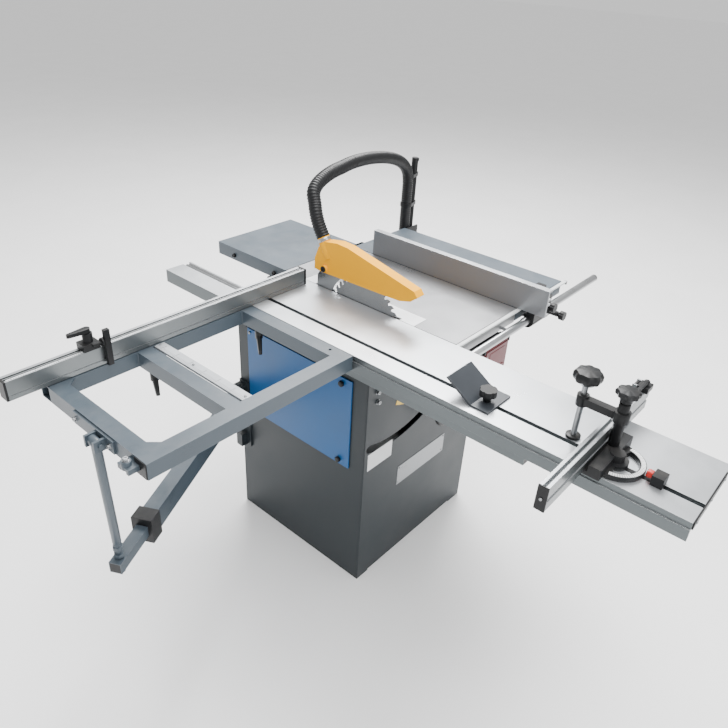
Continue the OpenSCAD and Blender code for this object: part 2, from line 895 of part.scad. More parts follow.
// A cage of flanged rollers between the beam and the table, which travels half as far
module table_rollers() {
    roller_d = 16;
    z = beam_top + 1 + roller_d / 2;
    color(steel) {
        for (y = [cage_y[0] + 30 : 110 : cage_y[1] - 20])
            rod_along_x([beam_x[0] + 10, y, z], roller_d, beam_size[0] - 44);
        for (x = [beam_x[0] + 5, beam_x[1] - 33])
            box([x, x + 6], cage_y, [z - 3, z + 3]);
    }
}

module beam_brackets() {
    zb = beam_top - beam_size[1];
    color(cab_color)
        for (y = [-160, 150])
            difference() {
                union() {
                    box([beam_x[0] + 6, -cab_x], [y, y + 60], [zb - 8, zb]);
                    box([-cab_x - 8, -cab_x], [y, y + 60], [zb - 60, zb - 7]);
                    box([beam_x[0] + 40, -cab_x - 7], [y + 27, y + 33], [zb - 50, zb - 7]);
                }
                for (dy = [12, 48])
                    rod_along_x([-cab_x - 9, y + dy, zb - 34], 9, 10);
            }
}

// ---- crosscut frame and fence ----

module crosscut_frame() {
    z0 = frame_z - tube;
    color(slate)
        difference() {
            union() {
                for (y = [frame_y[0], frame_y[1] - tube])
                    translate([frame_x[0], y, z0])
                        square_tube_x(frame_size[0], tube, tube, tube_wall);
                for (x = [frame_x[0], mid_x, frame_x[1] - tube])
                    translate([x + tube, frame_y[0] + tube - 1, z0])
                        rotate([0, 0, 90])
                            square_tube_x(frame_size[1] - 2 * tube + 2, tube, tube, tube_wall);
                for (y = [frame_y[0] + tube - 1, frame_y[1] - tube + 1])
                    corner_gusset([frame_x[0] + tube - 1, y], y < -100 ? 1 : -1);
                strut_plate();
                stop_eye();
            }
            rod_along_z([-391, -225, frame_z - 5], 8, 10);
            rod_along_z([fence_pivot[0], fence_pivot[1], z0 - 1], 10 + 2 * fit, tube + 2);
        }
}

module corner_gusset(at, dir) {
    translate([at[0], at[1], frame_z - 4])
        linear_extrude(4)
            polygon([[0, 0], [22, 0], [0, dir * 22]]);
}

// The plate on the left tube that carries the strut's upper eye
module strut_plate() {
    difference() {
        union() {
            box([frame_x[0] - 5, frame_x[0] + 1], [-178, -31], [frame_z - 34, frame_z - 4]);
            for (y = [strut_top[1] - 18, strut_top[1] + 14])
                box([frame_x[0] - 30, frame_x[0] - 4], [y, y + 6], [frame_z - 34, frame_z - 8]);
        }
        rod_along_y([strut_top[0], strut_top[1] - 30, strut_top[2]], 10, 60);
    }
}

module stop_eye() {
    difference() {
        union() {
            box([frame_x[0] - 26, frame_x[0] + 1], [-262, -226], [frame_z - 24, frame_z - 12]);
            rod_along_z([frame_x[0] - 18, -244, frame_z - 26], 20, 24);
        }
        box([frame_x[0] - 30, frame_x[0] - 6], [-254, -236], [frame_z - 27, frame_z - 19]);
    }
}

module frame_scale() {
    color(alu)
        box([mid_x + tube + 6, mid_x + tube + 33], [frame_y[0] + tube, frame_y[1] - tube], [frame_z - 6, frame_z]);
}

// A clamping lever: a hub under the tube with a handle that hangs down
module clamp_lever(reach, drop) {
    color(black) {
        cylinder(d = 20, h = 24);
        hull() {
            translate([2, 0, 2])
                cylinder(d = 15, h = 10, $fn = 32);
            translate([reach, 0, -drop])
                cylinder(d = 10, h = 12, $fn = 32);
        }
    }
    color(steel)
        translate([0, 0, 23])
            cylinder(d = 9, h = lever_drop - 23);
}

module rear_lever() {
    translate([frame_x[1] - tube / 2, 30, frame_z - tube - lever_drop])
        rotate([0, 0, 235])
            clamp_lever(24, 36);
}

module mid_lever() {
    translate([mid_x + tube / 2, 45, frame_z - tube - lever_drop])
        rotate([0, 0, 250])
            clamp_lever(16, 34);
}

// The adjustable strut hangs from the frame and reaches down to the swing arm
module strut() {
    axis = strut_foot - strut_top;
    lean = acos(axis[2] / norm(axis));
    turn = atan2(axis[1], axis[0]);
    color(slate)
        difference() {
            union() {
                translate(strut_top)
                    rotate([0, lean, turn])
                        cylinder(d = 20, h = norm(axis));
                rod_along_y([strut_top[0], strut_top[1] - 11.5, strut_top[2]], 22, 25);
            }
            rod_along_y([strut_top[0], strut_top[1] - 20, strut_top[2]], 10 + 2 * fit, 40);
        }
    color(steel)
        union() {
            rod_along_z([strut_foot[0], strut_foot[1], arm_z + arm_inner_size / 2 + 1], 12, 52);
            for (z = [3, 26])
                translate([strut_foot[0], strut_foot[1], arm_z + arm_inner_size / 2 + z])
                    cylinder(d = 24, h = 10, $fn = 6);
            rod_along_z([strut_foot[0], strut_foot[1], arm_z + arm_inner_size / 2 + 36], 18, 10);
        }
    color(steel)
        rod_along_y([strut_top[0], strut_top[1] - 22, strut_top[2]], 10, 44);
}

module crosscut_fence() {
    fw = fence_size[0];
    fh = fence_size[1];
    slot = 8;
    color(alu)
        difference() {
            box(fence_x, [fence_y, fence_y + fw], [fence_z, fence_z + fh]);
            for (y = [fence_y + 6, fence_y + fw - 6 - slot])
                box([fence_x[0] - 1, fence_x[1] + 1], [y, y + slot - 2], [fence_z + fh - 9, fence_z + fh + 1]);
            box([fence_x[0] - 1, fence_x[1] + 1], [fence_y + 4, fence_y + fw - 4], [fence_z + 4, fence_z + fh - 13]);
            box([fence_x[0] - 1, fence_x[1] + 1], [fence_y - 1, fence_y + 2], [fence_z + 10, fence_z + 12]);
            rod_along_z([fence_pivot[0], fence_pivot[1], fence_z - 1], 10, 6);
        }
    color(steel)
        rod_along_z([fence_pivot[0], fence_pivot[1], frame_z - tube - 8], 10, tube + 14);
}

module stop_slider() {
    top = fence_z + fence_size[1];
    color(black)
        union() {
            box([stop_x - 20, stop_x + 18], [fence_y - 3, fence_y + fence_size[0] + 1], [top + 0.3, top + 16]);
            rod_along_x([stop_x, stop_pivot[0], stop_pivot[1]], 8 - 2 * fit, 42);
            rod_along_z([stop_x, fence_y + 14, top + 15], 22, 22);
            rod_along_z([stop_x, fence_y + 14, top + 36], 14, 8);
            hull() {
                translate([stop_x, fence_y + 14, top + 38])
                    cylinder(d = 16, h = 10, $fn = 32);
                translate([stop_x - 44, fence_y + 6, top + 44])
                    cylinder(d = 9, h = 8, $fn = 32);
            }
        }
}

// The stop arm hangs in front of the fence and swings up about X
module flip_stop() {
    top = fence_z + fence_size[1];
    color(black)
        difference() {
            union() {
                rod_along_x([stop_x + 20, stop_pivot[0], stop_pivot[1]], 20, 18);
                box([stop_x + 24, stop_x + 37], [fence_y - 16, fence_y - 6], [fence_z + 1, top + 44]);
            }
            rod_along_x([stop_x + 19, stop_pivot[0], stop_pivot[1]], 8, 30);
        }
}

// ---- swing arm ----

module arm_bracket() {
    half = arm_outer_size[1] / 2;
    pin = 16;
    color(cab_color)
        difference() {
            union() {
                box([-cab_x - 6, -cab_x], [cover_y[1] + 3, cab_y], [262, 508]);
                for (z = [arm_z - half - 11, arm_z + half + 1]) {
                    box([arm_hinge[0] - 16, -cab_x - 5], [arm_hinge[1] - 16, arm_hinge[1] + 14], [z, z + 10]);
                }
                box([-cab_x - 30, -cab_x - 5], [232, 258], [266, 312]);
            }
            rod_along_z([arm_hinge[0], arm_hinge[1], arm_z - 60], pin, 120);
        }
    color(steel)
        rod_along_z([arm_hinge[0], arm_hinge[1], arm_z - half - 16], pin, arm_outer_size[1] + 32);
}

module arm_outer() {
    w = arm_outer_size[0];
    h = arm_outer_size[1];
    color(slate)
        difference() {
            union() {
                along_arm(outer_s[0])
                    translate([0, -w / 2, -h / 2])
                        square_tube_x(outer_s[1] - outer_s[0], w, h, 3);
                rod_along_z([arm_hinge[0], arm_hinge[1], arm_z - h / 2], 32, h);
            }
            rod_along_z([arm_hinge[0], arm_hinge[1], arm_z - h], 16 + 2 * fit, 2 * h);
        }
}

module arm_collar() {
    w = arm_outer_size[0];
    h = arm_outer_size[1];
    inner = arm_inner_size;
    color(black)
        along_arm(0)
            difference() {
                translate([outer_s[1] - 22, -w / 2 - 7, -h / 2 - 6])
                    cube([42, w + 14, h + 12]);
                translate([outer_s[1] - 30, -w / 2, -h / 2])
                    cube([30, w, h]);
                translate([outer_s[1] - 1, -inner / 2 - 0.4, -inner / 2 - 0.4])
                    cube([40, inner + 0.8, inner + 0.8]);
            }
}

module arm_inner() {
    inner = arm_inner_size;
    color(slate)
        along_arm(inner_s[0])
            translate([0, -inner / 2, -inner / 2])
                square_tube_x(inner_s[1] - inner_s[0], inner, inner, 2);
    color(steel)
        rod_along_z([foot[0], foot[1], arm_z - inner / 2 - 14], 17, 14);
}

// ---- mitre gauge, hold-down and shoe on the sliding table ----

module mitre_bar() {
    color(black)
        union() {
            box([slot_x - 5.6, slot_x + 5.6], [mitre_y - 95, mitre_y + 70], [table_z - 10, table_z + 0.6]);
            box([slot_x - 9.8, slot_x + 9.8], [mitre_y - 95, mitre_y + 70], [table_z - 15, table_z - 9.7]);
            box([slot_x - 14, slot_x + 14], [mitre_y - 95, mitre_y - 72], [table_z + 0.5, table_z + 22]);
            rod_along_z([slot_x, mitre_y, table_z], 12, 14);
        }
    color([0.86, 0.15, 0.12])
        rod_along_y([slot_x, mitre_y - 72, table_z + 14], 15, 12);
}

module mitre_head() {
    z0 = table_z + 1;
    color(black)
        difference() {
            union() {
                rod_along_z([slot_x, mitre_y, z0], 112, 10);
                box([slot_x - 74, slot_x + 74], [mitre_y, mitre_fence_y], [z0, z0 + 24]);
                rod_along_z([slot_x, mitre_y, z0], 30, 26);
            }
            translate([slot_x, mitre_y, z0 - 1])
                linear_extrude(14)
                    sector(24, 44, 195, 345);
            rod_along_z([slot_x, mitre_y, z0 - 1], 12 + 2 * fit, 15);
            box([slot_x - 80, slot_x + 80], [mitre_fence_y, mitre_y + 60], [z0 - 1, z0 + 30]);
            box([slot_x - 80, slot_x + 80], [mitre_fence_y - 8, mitre_y + 60], [z0 + 8, z0 + 30]);
        }
}

module mitre_fence() {
    y = [mitre_fence_y, mitre_fence_y + 20];
    z = [table_z + 2, table_z + 55];
    x = flap_x;
    color(alu)
        difference() {
            union() {
                box(mitre_fence_x, y, z);
                box([x, x + 22], [y[0] - 4, y[1]], [z[1] - 1, z[1] + 11]);
                for (ear = [x - 4, x + 22.3])
                    box([ear, ear + 3.7], [y[1] - 4, y[1] + 10], [z[1] - 1, z[1] + 11]);
                box([x - 4, x + 26], [y[1] - 4, y[1]], [z[1] - 1, z[1] + 11]);
                rod_along_x([x - 2, flap_at[0], flap_at[1]], 4 - 2 * fit, 26);
            }
            box([mitre_fence_x[0] - 1, mitre_fence_x[1] + 1], [y[0] + 3, y[1] - 3], [z[0] + 3, z[1] - 14]);
            box([mitre_fence_x[0] - 1, x - 6], [y[0] + 7, y[1] - 7], [z[1] - 10, z[1] + 1]);
            box([mitre_fence_x[0] - 1, mitre_fence_x[1] + 1], [y[0] - 1, y[0] + 2], [z[0] + 20, z[0] + 28]);
        }
}

// The flap hangs behind the fence and swings up about X
module mitre_stop() {
    x = flap_x;
    color(black)
        difference() {
            union() {
                rod_along_x([x + 0.3, flap_at[0], flap_at[1]], 9, 21.7);
                box([x + 0.3, x + 22], [flap_at[0], flap_at[0] + 4.5], [table_z + 12, flap_at[1]]);
            }
            rod_along_x([x - 1, flap_at[0], flap_at[1]], 4, 24);
        }
}

module holddown_post() {
    z0 = table_z + 25;
    color(black)
        union() {
            rod_along_z([post_at[0], post_at[1], z0 + 0.5], 22, 95);
            rod_along_z([post_at[0], post_at[1], z0 + 80], 16, 22);
            translate([post_at[0], post_at[1], z0 + 108])
                cylinder(d1 = 30, d2 = 36, h = 8);
            rod_along_z([post_at[0], post_at[1], z0 + 100], 24, 8);
            rod_along_z([post_at[0], post_at[1], z0 + 116], 36, 8);
            holddown_arm(z0 + 58);
        }
}

module holddown_arm(z) {
    difference() {
        union() {
            box([post_at[0] - 9, post_at[0] + 9], [post_at[1], screw_y], [z, z + 16]);
            rod_along_z([post_at[0], post_at[1], z - 3], 32, 22);
            rod_along_z([post_at[0], screw_y, z - 4], 24, 24);
        }
        rod_along_z([post_at[0], screw_y, z - 6], 12 + 2 * fit, 30);
    }
}

module clamp_screw() {
    z0 = table_z + 0.5;
    color(steel)
        rod_along_z([post_at[0], screw_y, z0 + 4], 12, 126);
    color(black)
        union() {
            rod_along_z([post_at[0], screw_y, z0], 29, 5);
            translate([post_at[0], screw_y, z0 + 128])
                cylinder(d1 = 34, d2 = 50, h = 8);
            rod_along_z([post_at[0], screw_y, z0 + 136], 50, 12);
            translate([post_at[0], screw_y, z0 + 148])
                cylinder(d1 = 50, d2 = 36, h = 6);
        }
}

module edging_shoe() {
    z0 = table_z + 0.6;
    color([0.28, 0.30, 0.33])
        difference() {
            union() {
                box([-352, -260], [-642, -596], [z0, z0 + 4]);
                yz_plate(-352, 92)
                    polygon([[-600, z0], [-594, z0], [-530, z0 + 42], [-534, z0 + 45], [-600, z0 + 4]]);
                box([slot_x - 5.6, slot_x + 5.6], [-640, -594], [table_z - 10, z0 + 1]);
                box([slot_x - 9.8, slot_x + 9.8], [-640, -594], [table_z - 15, table_z - 9.7]);
            }
            rod_along_z([slot_x, shoe_at, table_z - 8], 8 + 2 * fit, 20);
        }
}

module shoe_knob() {
    z0 = table_z + 5;
    color(black)
        union() {
            rod_along_z([slot_x, shoe_at, z0 - 10], 8, 20);
            rod_along_z([slot_x, shoe_at, z0 + 0.2], 18, 14);
            translate([slot_x, shoe_at, z0 + 14])
                difference() {
                    cylinder(d = 38, h = 15);
                    for (k = [0 : 5])
                        rotate(60 * k)
                            translate([23, 0, -1])
                                cylinder(d = 12, h = 17);
                }
        }
}

// ---- rip fence ----

module rip_carriage() {
    color(black)
        difference() {
            union() {
                rod_along_x([carriage_x[0], rail_y, rail_z], 40, carriage_x[1] - carriage_x[0]);
                box([carriage_x[0], carriage_x[1] - 30], [rail_y - 20, rail_y + 4], [rail_z, table_z + 20]);
                box([rip_x + 22, rip_x + 62], [rail_y - 20, rail_y + 4], [table_z + 2, table_z + 66]);
                rod_along_y([268, rail_y - 42, rail_z], 16, 30);
            }
            rod_along_x([carriage_x[0] - 1, rail_y, rail_z], rail_d + 2 * fit, carriage_x[1] - carriage_x[0] + 2);
            box([carriage_x[0] - 1, carriage_x[1] + 1], [rail_y, rail_y + 30], [rail_z - 3, rail_z + 9]);
            rod_along_y([268, rail_y - 43, rail_z], 8 + 2 * fit, 42);
            rod_along_y([215, rail_y - 21, table_z + 2], 8 + 2 * fit, 20);
        }
}

module rip_fence() {
    z = [table_z + 1, table_z + 1 + rip_size[2]];
    color(alu)
        difference() {
            union() {
                box([rip_x, rip_x + rip_size[1]], rip_y, z);
                for (h = [[0, 6], [32, 37], [46, 51], [rip_size[2] - 5, rip_size[2]]])
                    box([rip_x + 1, rip_x + 20], rip_y, [z[0] + h[0], z[0] + h[1]]);
            }
            box([rip_x + rip_size[1] + 8, rip_x + 21], [rip_y[0] - 1, rip_y[1] + 1], [z[0] + 60, z[0] + 71]);
        }
}

module star_knob(at) {
    color(black)
        translate(at)
            rotate([90, 0, 0])
                union() {
                    difference() {
                        cylinder(d = 26, h = 14);
                        for (k = [0 : 4])
                            rotate(72 * k)
                                translate([16, 0, -1])
                                    cylinder(d = 8, h = 16);
                    }
                    translate([0, 0, -6])
                        cylinder(d = 14, h = 7);
                }
}

module rip_lock_knob() {
    star_knob([268, rail_y - 49, rail_z]);
    color(steel)
        rod_along_y([268, rail_y - 50, rail_z], 8, 38);
}

module fence_lock_knob() {
    star_knob([215, rail_y - 40, table_z + 2]);
    color(steel)
        rod_along_y([215, rail_y - 44, table_z + 2], 8, 40);
}

cabinet_shell();
side_cover();
dust_chute();
main_table();
table_insert();
rear_extension();
right_extension();
scale_rail();
guide_rail();
rail_standoffs();
base_beam();
beam_rods();
beam_brackets();
arm_bracket();
switch_box();
stop_paddle();
hose_column();
hose_drop();
hose_upper();
hose_middle();
hose_lower();
trunnion_brackets();
tilt_frame();
lift_screw();
height_wheel();
tilt_wheel();
arbor_block();
motor();
riving_knife();
drive_belt();
arbor();
saw_blade();
motor_pulley();
blade_guard();
sliding_table();
table_end_plates();
table_rollers();
crosscut_frame();
frame_scale();
rear_lever();
mid_lever();
strut();
crosscut_fence();
stop_slider();
flip_stop();
arm_outer();
arm_collar();
arm_inner();
mitre_bar();
mitre_head();
mitre_fence();
mitre_stop();
holddown_post();
clamp_screw();
edging_shoe();
shoe_knob();
rip_carriage();
rip_fence();
rip_lock_knob();
fence_lock_knob();
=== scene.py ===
"""Looks for the sliding table panel saw: finishes for the CAD nodes, hose, blade and small fittings."""
import json
import math
import random

import bpy
from mathutils import Matrix, Vector


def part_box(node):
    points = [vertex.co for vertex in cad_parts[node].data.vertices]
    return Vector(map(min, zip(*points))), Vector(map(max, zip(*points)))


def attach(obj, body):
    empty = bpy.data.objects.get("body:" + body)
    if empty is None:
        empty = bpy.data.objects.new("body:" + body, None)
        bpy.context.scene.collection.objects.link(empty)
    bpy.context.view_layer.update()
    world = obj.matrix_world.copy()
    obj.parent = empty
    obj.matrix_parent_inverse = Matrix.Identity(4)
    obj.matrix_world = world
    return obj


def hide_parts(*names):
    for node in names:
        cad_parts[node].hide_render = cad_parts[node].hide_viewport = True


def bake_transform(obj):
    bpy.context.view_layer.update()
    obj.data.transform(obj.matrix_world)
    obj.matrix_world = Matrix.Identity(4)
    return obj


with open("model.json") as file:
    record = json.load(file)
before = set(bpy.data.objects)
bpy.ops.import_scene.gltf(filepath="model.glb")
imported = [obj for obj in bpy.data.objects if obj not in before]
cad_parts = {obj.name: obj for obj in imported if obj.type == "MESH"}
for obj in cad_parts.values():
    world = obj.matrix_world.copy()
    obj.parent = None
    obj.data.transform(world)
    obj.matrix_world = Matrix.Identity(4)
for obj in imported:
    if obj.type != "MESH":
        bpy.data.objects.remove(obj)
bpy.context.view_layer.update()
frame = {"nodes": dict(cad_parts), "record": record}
random.seed(7)

MM = 0.001

# ---- camera: at the photograph's place, angle and lens ----

CAMERA_AT = Vector((-1.4256, -1.1844, 1.6756))
AZIMUTH, ELEVATION, ROLL = (math.radians(a) for a in (-50.52, 31.15, 3.41))
SENSOR = 36.0
LENS = 33.75


def add_camera():
    forward = Vector((
        -math.sin(AZIMUTH) * math.cos(ELEVATION),
        math.cos(AZIMUTH) * math.cos(ELEVATION),
        -math.sin(ELEVATION),
    ))
    level_right = forward.cross(Vector((0, 0, 1))).normalized()
    level_up = level_right.cross(forward)
    right = math.cos(ROLL) * level_right + math.sin(ROLL) * level_up
    up = math.cos(ROLL) * level_up - math.sin(ROLL) * level_right
    camera = bpy.data.objects.new("camera", bpy.data.cameras.new("camera"))
    camera.matrix_world = Matrix.Translation(CAMERA_AT) @ Matrix((right, up, -forward)).transposed().to_4x4()
    camera.data.sensor_width = SENSOR
    camera.data.lens = LENS
    camera.data.clip_end = 50
    bpy.context.scene.collection.objects.link(camera)
    bpy.context.scene.camera = camera


# ---- materials ----

class Graph:
    """A material's node tree, with short calls to add and join nodes."""

    def __init__(self, name):
        self.material = bpy.data.materials.new(name)
        self.material.use_nodes = True
        self.tree = self.material.node_tree
        self.shader = self.tree.nodes["Principled BSDF"]
        self.place = self.add("ShaderNodeTexCoord").outputs["Object"]

    def add(self, kind, inputs=None, **settings):
        node = self.tree.nodes.new(kind)
        for key, value in settings.items():
            setattr(node, key, value)
        for key, value in (inputs or {}).items():
            if isinstance(value, bpy.types.NodeSocket):
                self.tree.links.new(value, node.inputs[key])
            else:
                node.inputs[key].default_value = value
        return node

    def maths(self, operation, a, b=0.0):
        return self.add("ShaderNodeMath", {0: a, 1: b}, operation=operation).outputs[0]

    def remap(self, value, low, high, to_low, to_high):
        inputs = {"Value": value, "From Min": low, "From Max": high, "To Min": to_low, "To Max": to_high}
        return self.add("ShaderNodeMapRange", inputs).outputs[0]

    def mix(self, factor, a, b):
        """Mixes two colours. A mix node keeps its colour sockets at 6 and 7, and its colour result at 2."""
        return self.add("ShaderNodeMix", {0: factor, 6: a, 7: b}, data_type="RGBA").outputs[2]

    def noise(self, scale, detail=4.0, stretch=(1, 1, 1), roughness=0.55):
        moved = self.add("ShaderNodeMapping", {"Vector": self.place, "Scale": stretch}).outputs[0]
        inputs = {"Vector": moved, "Scale": scale, "Detail": detail, "Roughness": roughness}
        return self.add("ShaderNodeTexNoise", inputs).outputs["Fac"]

    def part(self, axis):
        return self.add("ShaderNodeSeparateXYZ", {0: self.place}).outputs[axis]

    def upward(self):
        """The z of the surface's normal: one on a level top, zero on an upright side."""
        normal = self.add("ShaderNodeNewGeometry").outputs["Normal"]
        return self.add("ShaderNodeSeparateXYZ", {0: normal}).outputs[2]

    def into(self, socket, value):
        if isinstance(value, bpy.types.NodeSocket):
            self.tree.links.new(value, self.shader.inputs[socket])
        else:
            self.shader.inputs[socket].default_value = value


NOISE_LOW, NOISE_HIGH = 0.3, 0.7
DUST_COLOUR = (0.62, 0.57, 0.50, 1)
WORN_EDGE = 1.4 * MM
RELIEF_DEPTH = 0.4 * MM


def shade(colour, factor):
    return (*(min(1.0, c * factor) for c in colour), 1.0)


def edge_mask(graph, radius, sharpness):
    """One along sharp edges and zero on flat ground, broken up by noise."""
    rounded = graph.add("ShaderNodeBevel", {"Radius": radius}, samples=4).outputs[0]
    straight = graph.add("ShaderNodeNewGeometry").outputs["Normal"]
    facing = graph.add("ShaderNodeVectorMath", {0: rounded, 1: straight}, operation="DOT_PRODUCT")
    mask = graph.remap(facing.outputs["Value"], 0.995, 0.86, 0.0, 1.0)
    chips = graph.remap(graph.noise(90, 5), 0.5 - sharpness, 0.62, 0.0, 1.0)
    return graph.maths("MULTIPLY", mask, chips)


def finish(name, colour, rough, metal=0.0, vary=0.10, blotch=6.0, grain=(1, 1, 1), grain_scale=900,
           bump=0.05, wear=0.0, worn=(0.6, 0.6, 0.6), coat=0.0, dust=0.0, spread=0.12, shine=0.5,
           side=None):
    """A finish with blotches in its colour and grain in its roughness and relief.

    It can have dust on top, worn edges, and painted shade on upright sides: the side colour, which they take
    in place of their own.
    """
    graph = Graph(name)
    cloud = graph.noise(blotch, 5)
    fine = graph.noise(grain_scale, 3, grain)
    blotches = graph.remap(cloud, NOISE_LOW, NOISE_HIGH, 0, 1)
    base = graph.mix(blotches, shade(colour, 1 - vary), shade(colour, 1 + vary))
    base = graph.mix(graph.remap(fine, 0.35, 0.65, 0, 0.25), base, shade(colour, 1 - 1.5 * vary))
    if side:
        # Painted shade: upright sides get the darker side colour, as if less lit than level tops.
        base = graph.mix(graph.remap(graph.upward(), 0.55, 0.85, 1, 0), base, shade(side, 1))
    broad = graph.remap(cloud, NOISE_LOW, NOISE_HIGH, rough - spread / 2, rough + spread / 2)
    close = graph.remap(fine, NOISE_LOW, NOISE_HIGH, -spread / 3, spread / 3)
    roughness = graph.maths("ADD", broad, close)
    if dust:
        level = graph.remap(graph.upward(), 0.6, 1.0, 0, dust)
        settled = graph.maths("MULTIPLY", level, graph.remap(graph.noise(25, 6), 0.4, 0.75, 0, 1))
        base = graph.mix(settled, base, DUST_COLOUR)
        roughness = graph.maths("ADD", roughness, settled)
    if wear:
        mask = graph.maths("MULTIPLY", edge_mask(graph, WORN_EDGE, 0.12), wear)
        base = graph.mix(mask, base, (*worn, 1))
        graph.into("Metallic", graph.maths("MAXIMUM", graph.maths("MULTIPLY", mask, 0.7), metal))
    else:
        graph.into("Metallic", metal)
    bumps = {"Strength": bump, "Distance": RELIEF_DEPTH, "Height": fine}
    relief = graph.add("ShaderNodeBump", bumps).outputs[0]
    graph.into("Base Color", base)
    graph.into("Roughness", roughness)
    graph.into("Normal", relief)
    graph.into("Specular IOR Level", shine)
    graph.into("Coat Weight", coat)
    graph.into("Coat Roughness", 0.25)
    return graph.material


def ground_disc(name, colour, centre, rough):
    """Steel ground in rings about an axis along X, as a saw blade is."""
    graph = Graph(name)
    local = graph.add("ShaderNodeVectorMath", {0: graph.place, 1: centre}, operation="SUBTRACT").outputs[0]
    flat = graph.add("ShaderNodeVectorMath", {0: local, 1: (0, 1, 1)}, operation="MULTIPLY").outputs[0]
    radius = graph.add("ShaderNodeVectorMath", {0: flat}, operation="LENGTH").outputs["Value"]
    rings = graph.add("ShaderNodeTexNoise", {"W": radius, "Scale": 1400, "Detail": 2},
                      noise_dimensions="1D")
    cloud = graph.noise(18, 5)
    tone = graph.maths("ADD", graph.maths("MULTIPLY", rings.outputs["Fac"], 0.6),
                       graph.maths("MULTIPLY", cloud, 0.4))
    light_rings = graph.remap(tone, 0.35, 0.65, 0, 1)
    graph.into("Base Color", graph.mix(light_rings, shade(colour, 0.85), shade(colour, 1.1)))
    graph.into("Roughness", graph.remap(tone, NOISE_LOW, NOISE_HIGH, rough - 0.08, rough + 0.12))
    graph.into("Metallic", 1.0)
    relief = {"Strength": 0.15, "Distance": 0.1 * MM, "Height": rings.outputs["Fac"]}
    graph.into("Normal", graph.add("ShaderNodeBump", relief).outputs[0])
    return graph.material


def ruler(name, colour, ink, along, across, start, height, pitch=5 * MM):
    """A printed scale: short ticks at every pitch and long ones at every tenth, along one axis."""
    graph = Graph(name)
    run = graph.maths("DIVIDE", graph.part(along), pitch)
    rise = graph.maths("SUBTRACT", graph.part(across), start)
    fine = graph.maths("LESS_THAN", graph.maths("FRACT", run), 0.22)
    coarse = graph.maths("LESS_THAN", graph.maths("FRACT", graph.maths("DIVIDE", run, 10)), 0.03)
    short = graph.maths("MULTIPLY", fine, graph.maths("LESS_THAN", rise, height * 0.45))
    long = graph.maths("MULTIPLY", coarse, graph.maths("LESS_THAN", rise, height * 0.85))
    print_mask = graph.maths("MAXIMUM", short, long)
    faded = graph.maths("MULTIPLY", print_mask, graph.remap(graph.noise(60, 4), 0.3, 0.5, 0.7, 1))
    blotches = graph.remap(graph.noise(30, 4), 0.35, 0.65, 0, 1)
    plain = graph.mix(blotches, shade(colour, 0.93), shade(colour, 1.05))
    graph.into("Base Color", graph.mix(faded, plain, (*ink, 1)))
    graph.into("Roughness", graph.remap(graph.noise(200, 3), NOISE_LOW, NOISE_HIGH, 0.34, 0.5))
    return graph.material


def protractor(name, colour, ink, centre, step=5):
    """A printed degree scale: radial ticks round a vertical axis."""
    graph = Graph(name)
    local = graph.add("ShaderNodeVectorMath", {0: graph.place, 1: centre}, operation="SUBTRACT").outputs[0]
    axes = graph.add("ShaderNodeSeparateXYZ", {0: local})
    angle = graph.maths("ARCTAN2", axes.outputs[1], axes.outputs[0])
    turn = graph.maths("MULTIPLY", angle, 180 / math.pi / step)
    ticks = graph.maths("LESS_THAN", graph.maths("FRACT", turn), 0.16)
    stain = graph.remap(graph.noise(70, 4), 0.3, 0.6, 0, 1)
    plain = graph.mix(stain, shade(colour, 0.9), shade(colour, 1.05))
    graph.into("Base Color", graph.mix(ticks, plain, (*ink, 1)))
    graph.into("Roughness", graph.remap(stain, 0, 1, 0.35, 0.5))
    return graph.material


def joint(name):
    return next(j for j in frame["record"]["behaviour"]["joints"] if j["name"] == name)


def mitre_pivot():
    return Vector(joint("mitre_turn")["pos_m"])


def paints():
    return {
        "cabinet": finish("cabinet_paint", (0.017, 0.023, 0.027), 0.42, vary=0.12, grain_scale=1500,
                          bump=0.10, wear=0.5, worn=(0.07, 0.08, 0.09), dust=0.06, shine=0.3),
        "blue": finish("cover_blue", (0.006, 0.085, 0.25), 0.38, vary=0.10, grain_scale=1500, bump=0.10,
                       wear=0.5, worn=(0.08, 0.18, 0.32), shine=0.35),
        "slate": finish("slate_paint", (0.075, 0.098, 0.12), 0.36, vary=0.08, grain_scale=1500, bump=0.08,
                        wear=0.6, worn=(0.22, 0.25, 0.28), dust=0.04, shine=0.45),
        "tube": finish("tube_paint", (0.055, 0.074, 0.092), 0.34, vary=0.10, grain_scale=1500, bump=0.08,
                       wear=0.6, worn=(0.18, 0.21, 0.24), dust=0.04, shine=0.4),
        "cast": finish("cast_painted", (0.07, 0.075, 0.08), 0.55, vary=0.15, grain_scale=500, bump=0.25,
                       wear=0.6, worn=(0.3, 0.3, 0.3)),
        "motor": finish("motor_paint", (0.05, 0.058, 0.066), 0.45, vary=0.12, grain_scale=900, bump=0.15,
                        wear=0.5, worn=(0.2, 0.2, 0.2)),
        "shoe": finish("shoe_grey", (0.036, 0.041, 0.048), 0.36, 0.15, 0.10, 14, (1, 1, 1), 1200, 0.10,
                       wear=0.7, worn=(0.2, 0.21, 0.22), shine=0.4),
    }


